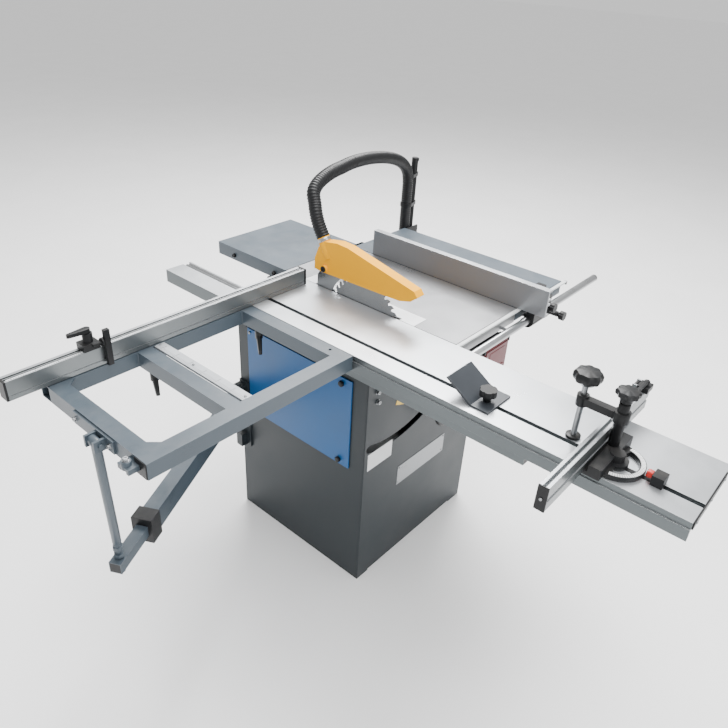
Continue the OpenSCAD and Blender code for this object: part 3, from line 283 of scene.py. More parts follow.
def metals():
    """Bare metals. Where a grain is stretched, its smallest number is the direction that it runs in."""
    blade_lo, blade_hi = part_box("saw_blade")
    bright = (0.8, 0.8, 0.8)
    return {
        "cast_top": finish("cast_table", (0.33, 0.335, 0.345), 0.36, 0.80, 0.06, 5, (0.06, 3, 1), 700, 0.06,
                           wear=0.4, worn=(0.72, 0.73, 0.74), spread=0.16),
        # The side colours of the anodised finishes are painted shade on their upright faces.
        "alu_x": finish("anodised_x", (0.56, 0.58, 0.60), 0.34, 0.85, 0.05, 8, (0.05, 4, 4), 700, 0.05,
                        wear=0.3, worn=bright, side=(0.19, 0.205, 0.21)),
        "alu_y": finish("anodised_y", (0.58, 0.60, 0.62), 0.36, 0.75, 0.04, 7, (4, 0.05, 4), 600, 0.05,
                        wear=0.3, worn=bright, side=(0.12, 0.135, 0.14)),
        "alu_fence": finish("anodised_fence", (0.62, 0.64, 0.66), 0.34, 0.85, 0.05, 7, (4, 0.05, 4), 600,
                            0.05, wear=0.3, worn=bright, side=(0.28, 0.29, 0.305)),
        "insert": finish("insert_plate", (0.80, 0.82, 0.84), 0.34, 0.35, 0.04, 10, (3, 0.05, 1), 700, 0.04),
        "steel": finish("bright_steel", (0.45, 0.46, 0.47), 0.30, 1.0, 0.07, 12, (0.1, 3, 3), 900, 0.05),
        "zinc": finish("zinc_steel", (0.36, 0.37, 0.38), 0.38, 1.0, 0.14, 30, (1, 1, 1), 500, 0.08),
        "carbide": finish("carbide", (0.20, 0.20, 0.21), 0.28, 0.9, 0.1, 40, bump=0.04),
        "blade": ground_disc("blade_steel", (0.36, 0.37, 0.38), (blade_lo + blade_hi) / 2, 0.30),
        "plate": finish("name_plate", (0.28, 0.29, 0.30), 0.35, 0.6, 0.08, 20, (0.1, 3, 3), 900, 0.05),
    }


def plastics():
    coal = (0.009, 0.0095, 0.0105)
    rubbed = (0.05, 0.05, 0.055)
    return {
        "black": finish("black_plastic", coal, 0.40, vary=0.15, grain_scale=1300, bump=0.12, wear=0.5,
                        worn=rubbed, dust=0.03, shine=0.28),
        "hose": finish("hose_rubber", coal, 0.42, vary=0.2, blotch=20, grain_scale=1100, bump=0.10, wear=0.4,
                       worn=rubbed, dust=0.03, shine=0.3),
        "belt": finish("belt_rubber", (0.02, 0.02, 0.02), 0.6, vary=0.2, grain_scale=900, bump=0.2),
        "yellow": finish("guard_yellow", (0.98, 0.44, 0.0), 0.52, vary=0.03, blotch=9, grain_scale=1200,
                         bump=0.05, wear=0.2, worn=(1.0, 0.52, 0.01), spread=0.08, shine=0.1),
        "dark_red": finish("stop_red", (0.11, 0.002, 0.007), 0.34, vary=0.08, grain_scale=1200, bump=0.05,
                           coat=0.1, shine=0.3),
        "red": finish("knob_red", (0.55, 0.02, 0.012), 0.34, vary=0.06, grain_scale=1200, bump=0.05,
                      coat=0.1, shine=0.35),
    }


def prints():
    """Blank labels, and scales that show ticks without numerals."""
    fence_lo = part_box("crosscut_fence")[0]
    rail_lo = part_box("scale_rail")[0]
    scale_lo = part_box("frame_scale")[0]
    ink = (0.03, 0.03, 0.03)
    return {
        "label": finish("label_white", (0.72, 0.73, 0.74), 0.4, vary=0.04, blotch=25, grain_scale=800,
                        bump=0.03),
        "sticker": finish("scale_yellow", (0.80, 0.52, 0.04), 0.4, vary=0.05, blotch=20, grain_scale=800,
                          bump=0.03),
        "fence_scale": ruler("fence_scale", (0.60, 0.62, 0.63), ink, 0, 1, fence_lo.y + 2 * MM, 6 * MM),
        "rail_scale": ruler("rail_scale", (0.70, 0.72, 0.72), ink, 0, 2, rail_lo.z, 11 * MM),
        "frame_scale": ruler("frame_scale", (0.40, 0.42, 0.44), (0.04, 0.04, 0.04), 1, 0, scale_lo.x,
                             24 * MM),
        "degrees": protractor("degree_scale", (0.75, 0.76, 0.76), ink, tuple(mitre_pivot())),
    }


MATERIALS = {**paints(), **metals(), **plastics(), **prints()}

CAD_FINISH = {
    "cabinet": "cabinet_shell beam_brackets arm_bracket",
    "blue": "side_cover",
    "slate": "rear_extension right_extension",
    "tube": "crosscut_frame arm_outer arm_inner strut",
    "cast_top": "main_table",
    "cast": "trunnion_brackets tilt_frame arbor_block",
    "alu_x": "scale_rail crosscut_fence mitre_fence",
    "alu_y": "base_beam sliding_table",
    "alu_fence": "rip_fence",
    "frame_scale": "frame_scale",
    "insert": "table_insert",
    "steel": "guide_rail beam_rods riving_knife arbor lift_screw",
    "zinc": "rail_standoffs table_rollers motor_pulley clamp_screw dust_chute",
    "black": "switch_box height_wheel tilt_wheel table_end_plates rear_lever mid_lever stop_slider flip_stop"
             " arm_collar mitre_bar mitre_head mitre_stop holddown_post shoe_knob rip_carriage rip_lock_knob"
             " fence_lock_knob hose_column",
    "yellow": "blade_guard",
    "dark_red": "stop_paddle",
    "motor": "motor",
    "shoe": "edging_shoe",
    "belt": "drive_belt",
}

# Width of each node's softened edges in mm. A node that isn't here has SOFT_EDGE.
SOFT_EDGE = 0.7
SOFT_EDGES = {
    "main_table": 0.8, "sliding_table": 0.5, "blade_guard": 3.0, "crosscut_frame": 1.6, "arm_outer": 2.5,
    "arm_inner": 1.5, "cabinet_shell": 1.2, "side_cover": 1.4, "rear_extension": 1.5,
    "right_extension": 1.5, "motor": 1.5, "mitre_head": 1.2, "rip_carriage": 2.0, "switch_box": 2.0,
    "stop_paddle": 2.0, "table_insert": 0.3, "beam_rods": 0.2, "clamp_screw": 0.8, "hose_column": 0.6,
    "drive_belt": 0.4, "riving_knife": 0.3,
}


def dress_cad_nodes():
    """Every CAD node gets its finish, and a weld and a bevel that soften its edges."""
    for key, names in CAD_FINISH.items():
        for name in names.split():
            obj = frame["nodes"][name]
            for slot in obj.material_slots:
                slot.material = MATERIALS[key]
            soften(obj, SOFT_EDGES.get(name, SOFT_EDGE) * MM, weld=True)


def soften(obj, width, segments=2, weld=False):
    if weld:
        obj.modifiers.new("weld", "WELD").merge_threshold = 0.01 * MM
    bevel = obj.modifiers.new("bevel", "BEVEL")
    bevel.width = width
    bevel.segments = segments
    bevel.limit_method = "ANGLE"
    bevel.angle_limit = math.radians(38)
    bevel.harden_normals = True
    bevel.use_clamp_overlap = True


# ---- mesh helpers ----


def make_piece(name, verts, faces, finish_key, body, smooth=True):
    """A piece with its finish, the slot that goes with it, and the body that it rides on, if any."""
    mesh = bpy.data.meshes.new(name)
    mesh.from_pydata([tuple(v) for v in verts], [], faces)
    mesh.materials.append(MATERIALS[finish_key])
    mesh.validate()
    for polygon in mesh.polygons:
        polygon.use_smooth = smooth
    obj = bpy.data.objects.new(name, mesh)
    bpy.context.scene.collection.objects.link(obj)
    if body:
        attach(obj, body)
    return obj


def block(name, lo, hi, finish_key, body, radius=0.8 * MM):
    """A block with rounded edges between two corners."""
    xs, ys, zs = ((min(a, b), max(a, b)) for a, b in zip(lo, hi))
    verts = [(x, y, z) for x in xs for y in ys for z in zs]
    faces = [(0, 1, 3, 2), (4, 6, 7, 5), (0, 4, 5, 1), (2, 3, 7, 6), (0, 2, 6, 4), (1, 5, 7, 3)]
    obj = make_piece(name, verts, faces, finish_key, body)
    smallest = min(b - a for a, b in (xs, ys, zs))
    soften(obj, min(radius, smallest * 0.3), 3)
    return obj


def frame_of(axis):
    """The axis as a unit vector, and two unit vectors across it."""
    axis = Vector(axis).normalized()
    side = axis.orthogonal().normalized()
    return axis, side, axis.cross(side)


def circle(turn):
    return 1.0


def hexagon(turn):
    """How far out a hexagon's side is at a turn, as a share of its corners."""
    return math.cos(math.pi / 6) / math.cos((turn % (math.pi / 3)) - math.pi / 6)


def ring(centre, radius, side, other, sides, shape=circle):
    """Points round a centre. The shape is a factor on the radius at each turn."""
    points = []
    for k in range(sides):
        turn = 2 * math.pi * k / sides
        points.append(centre + radius * shape(turn) * (math.cos(turn) * side + math.sin(turn) * other))
    return points


def skin(rings, sides):
    """Faces over a stack of rings, closed at both ends."""
    faces = []
    for i in range(rings - 1):
        for k in range(sides):
            nxt = (k + 1) % sides
            faces.append((i * sides + k, i * sides + nxt, (i + 1) * sides + nxt, (i + 1) * sides + k))
    faces.append(tuple(range(sides))[::-1])
    faces.append(tuple((rings - 1) * sides + k for k in range(sides)))
    return faces


def lathe(name, at, axis, profile, finish_key, body, sides=32, lobes=0, lobe_depth=0.0):
    """A turned shape: profile is (height, radius) pairs in mm. Lobes pull the radius in for a grip."""
    axis, side, other = frame_of(axis)
    verts = []
    for height, radius in profile:
        verts += ring(Vector(at) + axis * height * MM, radius * MM, side, other, sides,
                      lambda turn: 1 - lobe_depth * (0.5 + 0.5 * math.cos(lobes * turn)))
    obj = make_piece(name, verts, skin(len(profile), sides), finish_key, body)
    soften(obj, 0.4 * MM, 2)
    return obj


def prism(name, outline, thickness, place, finish_key, body, radius=0.4 * MM):
    """A flat shape with an outline in its own plane, put in place by a function from (u, v, w) to a point."""
    count = len(outline)
    verts = [place(u, v, w) for w in (0, thickness) for u, v in outline]
    faces = [tuple(range(count))[::-1], tuple(count + k for k in range(count))]
    faces += [(k, (k + 1) % count, count + (k + 1) % count, count + k) for k in range(count)]
    obj = make_piece(name, verts, faces, finish_key, body, smooth=False)
    soften(obj, radius, 2)
    return obj


def hex_bolt(name, at, axis, size, finish_key, body):
    """A flanged hexagon head: washer, chamfered head and a dimple on top. Its size is in mm."""
    axis, side, other = frame_of(axis)
    size = size * MM
    height = size * 0.62
    rings = ((0, 1.15, circle), (size * 0.12, 1.15, circle), (size * 0.12, 1.0, hexagon),
             (height * 0.85, 1.0, hexagon), (height, 0.88, hexagon), (height, 0.45, circle),
             (height * 0.8, 0.38, circle))
    sides = 24
    verts = []
    for up, share, shape in rings:
        verts += ring(Vector(at) + axis * up, size * 0.5 * share, side, other, sides, shape)
    return make_piece(name, verts, skin(len(rings), sides), finish_key, body, smooth=False)


def socket_screw(name, at, axis, size, finish_key, body):
    """A low round head with a recess. Its size is the head's diameter in mm."""
    profile = [(size / 2 * height, size / 2 * radius) for height, radius in
               ((0, 1), (0.55, 1), (0.85, 0.86), (0.95, 0.62), (0.95, 0.42), (0.45, 0.36))]
    return lathe(name, at, axis, profile, finish_key, body, sides=24)


# ---- the hose ----

HOSE_D = 0.038
RIB_PITCH = 0.0075
RINGS_A_RIB = 4
RIB_SWELL = (0.90, 0.965, 1.0, 0.965)
HOSE_ROUTE = [(-150, 35, 1006), (-150, 47, 1025), (-150, 57, 1044), (-148, 67, 1066), (-140, 80, 1088),
              (-132, 93, 1110), (-112, 101, 1126), (-80, 107, 1138), (-35, 115, 1146), (10, 122, 1149),
              (56, 129, 1152), (130, 146, 1147), (200, 160, 1138), (280, 175, 1122), (350, 188, 1100),
              (402, 198, 1072), (430, 203, 1040), (440, 206, 1006), (440, 206, 1001), (440, 206, 900),
              (440, 206, 800), (440, 206, 700), (440, 207, 600), (436, 214, 530), (420, 234, 468),
              (380, 262, 420), (310, 288, 388), (220, 300, 368), (130, 305, 348), (80, 305, 320),
              (60, 305, 290), (60, 305, 262)]
HOSE_UPRIGHT = Vector((0.440, 0.206, 0))
HOSE_PORT = Vector((0.060, 0.305, 0.262))
CUFF_LENGTH = 0.094
NECK_LENGTH = 0.236
SAMPLES_A_SPAN = 24


def rounded_route(points, step=RIB_PITCH / RINGS_A_RIB):
    """The route in metres as one smooth curve with evenly spaced points."""
    route = [Vector(p) * MM for p in points]
    dense = []
    for i in range(len(route) - 1):
        before = route[max(i - 1, 0)]
        after = route[min(i + 2, len(route) - 1)]
        a, b = route[i], route[i + 1]
        span = (b - a).length
        lead_in = (b - before).normalized() * span / 3
        lead_out = (after - a).normalized() * span / 3
        for k in range(SAMPLES_A_SPAN):
            t = k / SAMPLES_A_SPAN
            dense.append((1 - t) ** 3 * a + 3 * t * (1 - t) ** 2 * (a + lead_in)
                         + 3 * t * t * (1 - t) * (b - lead_out) + t ** 3 * b)
    dense.append(route[-1])
    total = sum((q - p).length for p, q in zip(dense, dense[1:]))
    count = max(4, round(total / step))
    even, walked, i = [dense[0]], 0.0, 0
    for k in range(1, count):
        target = total * k / count
        while walked + (dense[i + 1] - dense[i]).length < target:
            walked += (dense[i + 1] - dense[i]).length
            i += 1
        piece = dense[i + 1] - dense[i]
        even.append(dense[i] + piece * ((target - walked) / piece.length))
    even.append(dense[-1])
    return even, total


def ribbed_tube(name, path, phase, sides=24):
    """A corrugated hose along a path: its radius swells once in every rib."""
    verts = []
    side = (path[1] - path[0]).orthogonal().normalized()
    for i, point in enumerate(path):
        along = (path[min(i + 1, len(path) - 1)] - path[max(i - 1, 0)]).normalized()
        side = (side - along * side.dot(along)).normalized()
        radius = HOSE_D / 2 * RIB_SWELL[(i + phase) % RINGS_A_RIB]
        verts += ring(point, radius, side, along.cross(side), sides)
    return make_piece(name, verts, skin(len(path), sides), "hose", None)


def add_hose():
    """One hose in three lengths: the cuff at the guard, the neck above it and the rest."""
    route, whole = rounded_route(HOSE_ROUTE)
    step = whole / (len(route) - 1)
    first, second = round(CUFF_LENGTH / step), round((CUFF_LENGTH + NECK_LENGTH) / step)
    cuff = ribbed_tube("hose_at_guard", route[:first + 1], 0)
    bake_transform(cuff)
    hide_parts("hose_lower")
    neck = ribbed_tube("hose_above_guard", route[first:second + 1], first)
    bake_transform(neck)
    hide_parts("hose_middle")
    hose = ribbed_tube("hose", route[second:], second)
    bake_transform(hose)
    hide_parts("hose_upper", "hose_drop")
    return route


def hose_band(name, at, axis, radius, body):
    """A worm-drive band: a strap round the hose with its housing and screw. Its radius is in mm."""
    axis, side, other = frame_of(axis)
    strap = ((0, -1), (0, 0.6), (1, 1.2), (9, 1.2), (10, 0.6), (10, -1))
    lathe(name, at - axis * 5 * MM, axis, [(height, radius + proud) for height, proud in strap], "steel",
          body, sides=40)
    lathe(name + "_housing", at + side * (radius + 4) * MM - other * 9 * MM, other,
          [(0, 4), (0.5, 5.2), (13, 5.2), (14, 3.4), (18, 3.2), (18.5, 2.4)], "steel", body, sides=20)


COLUMN_Y = 0.208
COLUMN_INSET = 8 * MM
STRAP_HEIGHTS = (1.030, 0.930)
STRAP_SECTION = ((0, -6), (1.2, -6), (1.2, 6), (0, 6))


def column_top():
    """The middle of the hose column's upper end."""
    column_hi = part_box("hose_column")[1]
    return Vector((column_hi.x - COLUMN_INSET, COLUMN_Y, column_hi.z))


def hose_fittings(route):
    """Bands at both ends of the hose and straps that hold it to its column."""
    along = route[1] - route[0]
    hose_band("guard_band", route[0] - along.normalized() * 7 * MM, along, 18, "guard")
    hose_band("port_band", HOSE_PORT + Vector((0, 0, 6)) * MM, (0, 0, 1), 18.6, "machine")
    for k, height in enumerate(STRAP_HEIGHTS):
        column = column_top()
        column.z = height
        strap_round(f"hose_strap_{k}", HOSE_UPRIGHT + Vector((0, 0, height)), column)


def arc_points(centre, radius, start, sweep, steps):
    turns = (start + sweep * k / steps for k in range(steps + 1))
    return [Vector((centre.x + radius * math.cos(a), centre.y + radius * math.sin(a), 0)) for a in turns]


def strap_round(name, hose_at, column_at):
    """A flat strap round the hose and the column together."""
    between = column_at - hose_at
    turn = math.atan2(between.y, between.x)
    big, small = 19.8 * MM, 11.8 * MM
    lean = math.acos((big - small) / between.length)
    loop = arc_points(hose_at, big, turn + lean, 2 * math.pi - 2 * lean, 24)
    loop += arc_points(column_at, small, turn - lean, 2 * lean, 12)
    count = len(loop)
    centre = sum(loop, Vector()) / count
    verts = []
    for grow, up in STRAP_SECTION:
        for p in loop:
            out = (p - centre).normalized() * grow * MM
            verts.append((p.x + out.x, p.y + out.y, hose_at.z + up * MM))
    faces = []
    for row in range(len(STRAP_SECTION)):
        next_row = (row + 1) % len(STRAP_SECTION)
        for k in range(count):
            nxt = (k + 1) % count
            faces.append((row * count + k, row * count + nxt, next_row * count + nxt, next_row * count + k))
    make_piece(name, verts, faces, "black", "machine", smooth=False)


# ---- caps and plugs ----

FENCE_WIDTH = 28 * MM
FENCE_HEIGHT = 45 * MM
CAP_LIP = 0.8 * MM
MITRE_BEHIND = 10 * MM
MITRE_DEPTH = 20 * MM
MITRE_HEIGHT = 53 * MM
TUBE = 38 * MM
FRAME_REACH = 0.560


def fence_caps():
    lo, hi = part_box("crosscut_fence")
    for name, x0, x1 in (("fence_cap_right", hi.x - 6 * MM, hi.x + 1.5 * MM),
                         ("fence_cap_left", lo.x - 1 * MM, lo.x + 4 * MM)):
        block(name, (x0, lo.y - CAP_LIP, hi.z - FENCE_HEIGHT + 0.2 * MM),
              (x1, lo.y + FENCE_WIDTH + CAP_LIP, hi.z + CAP_LIP), "black", "fence", 1 * MM)


def mitre_fence_fittings():
    """The end cap with its screw, and the holder and clamping lever of the stop flap."""
    lo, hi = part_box("mitre_fence")
    back = hi.y - MITRE_BEHIND
    block("mitre_cap", (lo.x - 3 * MM, back - MITRE_DEPTH - 0.6 * MM, lo.z - 0.4 * MM),
          (lo.x + 1 * MM, back + 0.6 * MM, lo.z + MITRE_HEIGHT + 0.6 * MM), "black", "mitre_gauge", 1.2 * MM)
    socket_screw("mitre_cap_screw", (lo.x - 2.8 * MM, back - MITRE_DEPTH / 2, lo.z + 26 * MM), (-1, 0, 0), 6,
                 "steel", "mitre_gauge")
    holder_lo = Vector((hi.x - 34.6 * MM, back - 25 * MM, hi.z - 12.4 * MM))
    holder_hi = Vector((hi.x - 3.4 * MM, back + 0.3 * MM, hi.z + 1 * MM))
    block("flap_holder", holder_lo, holder_hi, "black", "mitre_gauge", 1.6 * MM)
    spindle = Vector((holder_lo.x + 15 * MM, holder_lo.y + 11 * MM, holder_hi.z))
    lathe("flap_lever_hub", spindle, (0, 0, 1), [(-1, 6), (0, 7), (9, 6.4), (11, 5), (11.4, 2)], "black",
          "mitre_gauge")
    block("flap_lever", spindle + Vector((-46, -4, 5)) * MM, spindle + Vector((0, 4, 10)) * MM, "black",
          "mitre_gauge", 2.4 * MM)


def tube_and_beam_caps():
    lo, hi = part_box("crosscut_frame")
    outer_x = hi.x - FRAME_REACH
    block("tube_cap_left", (outer_x - 2.5 * MM, lo.y + 1 * MM, lo.z + 1 * MM),
          (outer_x + 2 * MM, lo.y + TUBE - 1 * MM, hi.z - 1 * MM), "black", "crosscut", 1 * MM)
    lo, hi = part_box("base_beam")
    for name, y0, y1 in (("beam_cap_front", lo.y, lo.y + 6 * MM), ("beam_cap_rear", hi.y - 6 * MM, hi.y)):
        block(name, (lo.x + 0.5 * MM, y0, lo.z + 0.5 * MM), (hi.x - 0.5 * MM, y1, hi.z - 9 * MM), "black",
              "machine", 1.2 * MM)


def rail_and_column_caps():
    lo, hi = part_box("guide_rail")
    middle = (lo + hi) / 2
    for name, x, way in (("rail_plug_right", hi.x, -1), ("rail_plug_left", lo.x, 1)):
        lathe(name, (x, middle.y, middle.z), (way, 0, 0), [(0, 8), (0.2, 10.4), (2, 11.2), (3, 11.2), (6, 9)],
              "black", "machine")
    lathe("column_cap", column_top() - Vector((0, 0, 3)) * MM, (0, 0, 1),
          [(-9, 11.6), (0, 11.8), (2, 10.4), (3, 7), (3.2, 2)], "black", "machine")
    lo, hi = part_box("scale_rail")
    block("scale_rail_cap", (hi.x - 4 * MM, lo.y + 0.2 * MM, lo.z + 0.2 * MM),
          (hi.x, hi.y - 0.4 * MM, hi.z - 0.2 * MM), "black", "machine", 0.8 * MM)


# ---- scales and labels ----

LABEL_X, LABEL_Z = (-0.262, -0.155), (0.424, 0.482)
PLATE_X, PLATE_Z = (-0.115, 0.125), (0.285, 0.355)
RIVET_INSET = 7 * MM
STICKER = [(-0.154, 0.600), (-0.144, 0.632), (-0.108, 0.628), (-0.051, 0.577), (-0.066, 0.566)]
DEGREE_RING = (0.0460, 0.0545)


def scale_strips():
    lo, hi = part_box("crosscut_fence")
    block("fence_scale_strip", (lo.x + 8 * MM, lo.y + 2 * MM, hi.z - 0.4 * MM),
          (hi.x - 12 * MM, lo.y + 8 * MM, hi.z + 0.3 * MM), "fence_scale", "fence", 0.1 * MM)
    lo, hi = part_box("scale_rail")
    block("rail_scale_strip", (lo.x + 6 * MM, lo.y - 0.15 * MM, hi.z - 4.2 * MM),
          (hi.x - 6 * MM, hi.y - 0.6 * MM, hi.z + 0.3 * MM), "rail_scale", "machine", 0.1 * MM)


def degree_ring():
    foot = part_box("mitre_head")[0].z + 10 * MM
    pivot = mitre_pivot()
    arc = [math.radians(a) for a in range(188, 353, 6)]
    inner, outer = ([(pivot.x + r * math.cos(a), pivot.y + r * math.sin(a)) for a in arc]
                    for r in DEGREE_RING)
    prism("degree_ring", outer + inner[::-1], 0.7 * MM, lambda u, v, w: (u, v, foot + w), "degrees",
          "mitre_gauge", 0.1 * MM)


def cabinet_labels():
    """A blank label, a blank name plate with its rivets, and the tilt scale's sticker."""
    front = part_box("cabinet_shell")[0].y
    sunk = front + 0.4 * MM
    block("front_label", (LABEL_X[0], front - 0.5 * MM, LABEL_Z[0]), (LABEL_X[1], sunk, LABEL_Z[1]),
          "label", "machine", 0.2 * MM)
    block("name_plate", (PLATE_X[0], front - 1.2 * MM, PLATE_Z[0]), (PLATE_X[1], sunk, PLATE_Z[1]),
          "plate", "machine", 0.5 * MM)
    rivet_x = (PLATE_X[0] + RIVET_INSET, PLATE_X[1] - RIVET_INSET)
    rivet_z = (PLATE_Z[0] + RIVET_INSET, PLATE_Z[1] - RIVET_INSET)
    for k, (x, z) in enumerate((x, z) for z in rivet_z for x in rivet_x):
        socket_screw(f"name_plate_rivet_{k}", (x, front - 1.2 * MM, z), (0, -1, 0), 5, "steel", "machine")
    prism("tilt_scale", STICKER, 0.6 * MM, lambda u, v, w: (u, front - w, v), "sticker", "machine", 0.1 * MM)


# ---- bolts and screws ----

FRONT_BOLTS = ((-0.240, 0.684), (-0.236, 0.650))
EXTENSION_BOLTS_Y = (0.418, 0.234)
STRUT_BOLTS_Y = (-0.166, -0.040)
STOP_EYE_Y = -0.244
MID_TUBE_X = -0.721
MID_SCALE_X = -0.6635
MID_SCALE_Y = (-0.238, -0.060, 0.066)


def cabinet_bolts():
    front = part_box("cabinet_shell")[0].y
    for k, (x, z) in enumerate(FRONT_BOLTS):
        hex_bolt(f"front_bolt_{k}", (x, front, z), (0, -1, 0), 13, "zinc", "machine")
    lo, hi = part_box("side_cover")
    for k, (y, z) in enumerate(((lo.y + 35 * MM, hi.z - 18 * MM), (lo.y + 37 * MM, lo.z + 17 * MM))):
        lathe(f"cover_knob_{k}", (lo.x, y, z), (-1, 0, 0), [(0, 7), (2, 9), (7, 9.4), (9, 8), (9.5, 3)],
              "black", "machine", 36, 8, 0.14)
    for k, z in enumerate((hi.z - 12 * MM, lo.z + 12 * MM)):
        socket_screw(f"cover_screw_{k}", (lo.x, hi.y - 12 * MM, z), (-1, 0, 0), 9, "zinc", "machine")
    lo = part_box("rear_extension")[0]
    for k, y in enumerate(EXTENSION_BOLTS_Y):
        hex_bolt(f"extension_bolt_{k}", (lo.x, y, lo.z + 16 * MM), (-1, 0, 0), 12, "black", "machine")


def end_plate_screws():
    lo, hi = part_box("table_end_plates")
    for end, y, way in (("front", lo.y, -1), ("rear", hi.y, 1)):
        for k, share in enumerate((0.08, 0.5, 0.92)):
            at = (lo.x + (hi.x - lo.x) * share, y - way * 1.5 * MM, (lo.z + hi.z) / 2)
            socket_screw(f"end_plate_screw_{end}_{k}", at, (0, way, 0), 7, "zinc", "slide")


def frame_bolts():
    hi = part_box("crosscut_frame")[1]
    outer_x = hi.x - FRAME_REACH
    for k, y in enumerate(STRUT_BOLTS_Y):
        hex_bolt(f"strut_plate_bolt_{k}", (outer_x - 5 * MM, y, hi.z - TUBE / 2), (-1, 0, 0), 10, "zinc",
                 "crosscut")
    hex_bolt("stop_eye_bolt", (outer_x - 18 * MM, STOP_EYE_Y, hi.z - 3 * MM), (0, 0, 1), 12, "zinc",
             "crosscut")
    for k, y in enumerate(MID_SCALE_Y):
        socket_screw(f"frame_scale_screw_{k}", (MID_SCALE_X, y, hi.z), (0, 0, 1), 6, "zinc", "crosscut")


def arm_bolts():
    """Bolts and the end cap of the swing arm, along the line from its hinge in which it extends."""
    along = Vector(joint("arm_extend")["axis"])
    hinge = Vector(joint("arm_swing")["pos_m"])
    up = Vector((0, 0, 1))
    left = up.cross(along)
    for k, (distance, height) in enumerate(((45, 14), (45, -14), (540, 0))):
        at = hinge + (along * distance - left * 20 + up * height) * MM
        hex_bolt(f"arm_bolt_{k}", at, -left, 11, "zinc", "swing_arm")
    tip = hinge + along * 728.8 * MM
    half = 14 * MM
    prism("arm_end_cap", [(-half, -half), (half, -half), (half, half), (-half, half)], 1.8 * MM,
          lambda u, v, w: tip + left * u + up * v + along * w, "black", "arm_slide", 0.5 * MM)


# ---- welds ----

WELD_STEPS = 14


def weld_beads():
    """Fillet welds where the frame's cross tubes meet the long ones."""
    lo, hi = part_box("crosscut_frame")
    tube_left = (hi.x - FRAME_REACH, MID_TUBE_X, hi.x - TUBE)
    outer_sides = ((0, 0), (2, 1))
    for i, x in enumerate(tube_left):
        for j, (y, way) in enumerate(((lo.y + TUBE, 1), (hi.y - TUBE, -1))):
            for k, (side_x, out) in enumerate(((x, -1), (x + TUBE, 1))):
                if (i, k) in outer_sides:
                    continue
                foot = Vector((side_x + out * 0.2 * MM, y + way * 0.2 * MM, lo.z + 2 * MM))
                rise = Vector((0, 0, (TUBE - 4 * MM) / WELD_STEPS))
                bead(f"weld_{i}_{j}_{k}", [foot + rise * t for t in range(WELD_STEPS + 1)], 2.2 * MM)


def bead(name, path, radius, sides=8):
    """A weld bead of uneven thickness along a straight path."""
    side, other = frame_of(path[-1] - path[0])[1:]
    verts = []
    for point in path:
        verts += ring(point, radius * random.uniform(0.8, 1.1), side, other, sides)
    make_piece(name, verts, skin(len(path), sides), "tube", "crosscut")


# ---- knobs, pads and the stop paddle ----

def clamp_screw_grips():
    """The clamp's big knob and the pad on its foot."""
    lo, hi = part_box("clamp_screw")
    x, y = (lo.x + hi.x) / 2, (lo.y + hi.y) / 2
    lathe("clamp_knob", (x, y, hi.z), (0, 0, 1),
          [(-20, 13), (-18.5, 27), (-14, 29), (-6, 29), (0.4, 25), (2, 15), (2.6, 4)], "black",
          "holddown_screw", 96, 8, 0.10)
    lathe("clamp_foot_pad", (x, y, lo.z), (0, 0, 1),
          [(0.7, 14.8), (0.9, 15.4), (5.6, 15.4), (6.4, 14.4), (6.6, 7)], "black", "holddown_screw")


def guard_bolt_cap():
    """The cap of the bolt that the guard swings on."""
    pivot = Vector(joint("guard_swing")["pos_m"])
    pivot.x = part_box("blade_guard")[0].x + 0.4 * MM
    lathe("guard_bolt_cap", pivot, (-1, 0, 0), [(0, 8.6), (2.4, 8.6), (3.8, 7), (4.2, 3)], "black", "guard")


def post_knob():
    lo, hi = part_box("holddown_post")
    lathe("post_knob", ((lo.x + hi.x) / 2, lo.y + 18 * MM, hi.z), (0, 0, 1),
          [(-11, 19), (-9.5, 23.5), (-3, 24), (0.4, 21), (1.8, 12), (2.2, 3)], "black", "holddown", 96, 8,
          0.12)


def mitre_lock_knob():
    lo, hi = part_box("mitre_bar")
    lathe("mitre_lock_knob", ((lo.x + hi.x) / 2, lo.y + 33 * MM, lo.z + 29 * MM), (0, 1, 0),
          [(-10, 5), (-9, 8.6), (-1, 9), (2, 8), (3, 4)], "red", "mitre_slide", 36, 6, 0.12)


def paddle_details():
    """The lip at the stop paddle's foot and the raised panel on its face."""
    lo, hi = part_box("stop_paddle")
    block("paddle_lip", (lo.x + 12 * MM, lo.y - 1.5 * MM, lo.z + 4 * MM),
          (hi.x - 12 * MM, lo.y + 1 * MM, lo.z + 16 * MM), "dark_red", "stop_flap", 1.2 * MM)
    block("paddle_panel", (lo.x + 18 * MM, lo.y - 0.8 * MM, lo.z + 26 * MM),
          (hi.x - 18 * MM, lo.y + 1 * MM, hi.z - 18 * MM), "dark_red", "stop_flap", 0.8 * MM)


# ---- the blade ----

TEETH = 40
BLADE_HALF = 1 * MM
TIP_HALF = 1.4 * MM
BORE_RADIUS = 10.1 * MM
ROOT_SHARE = 0.86
# One tooth's outline: how far through the tooth, and the radius as a share of the blade's.
TOOTH = ((0.00, 0.918), (0.12, 0.900), (0.28, 0.914), (0.45, 0.966), (0.55, 0.983), (0.95, 0.997),
         (0.97, 0.945))
TIP_PLACE = 0.965
# One tip's outline: the radius as a share of the blade's, and how far behind the tooth's face in mm.
TIP = ((0.936, 0.2), (0.999, -0.4), (0.992, 2.4), (0.936, 2.0))


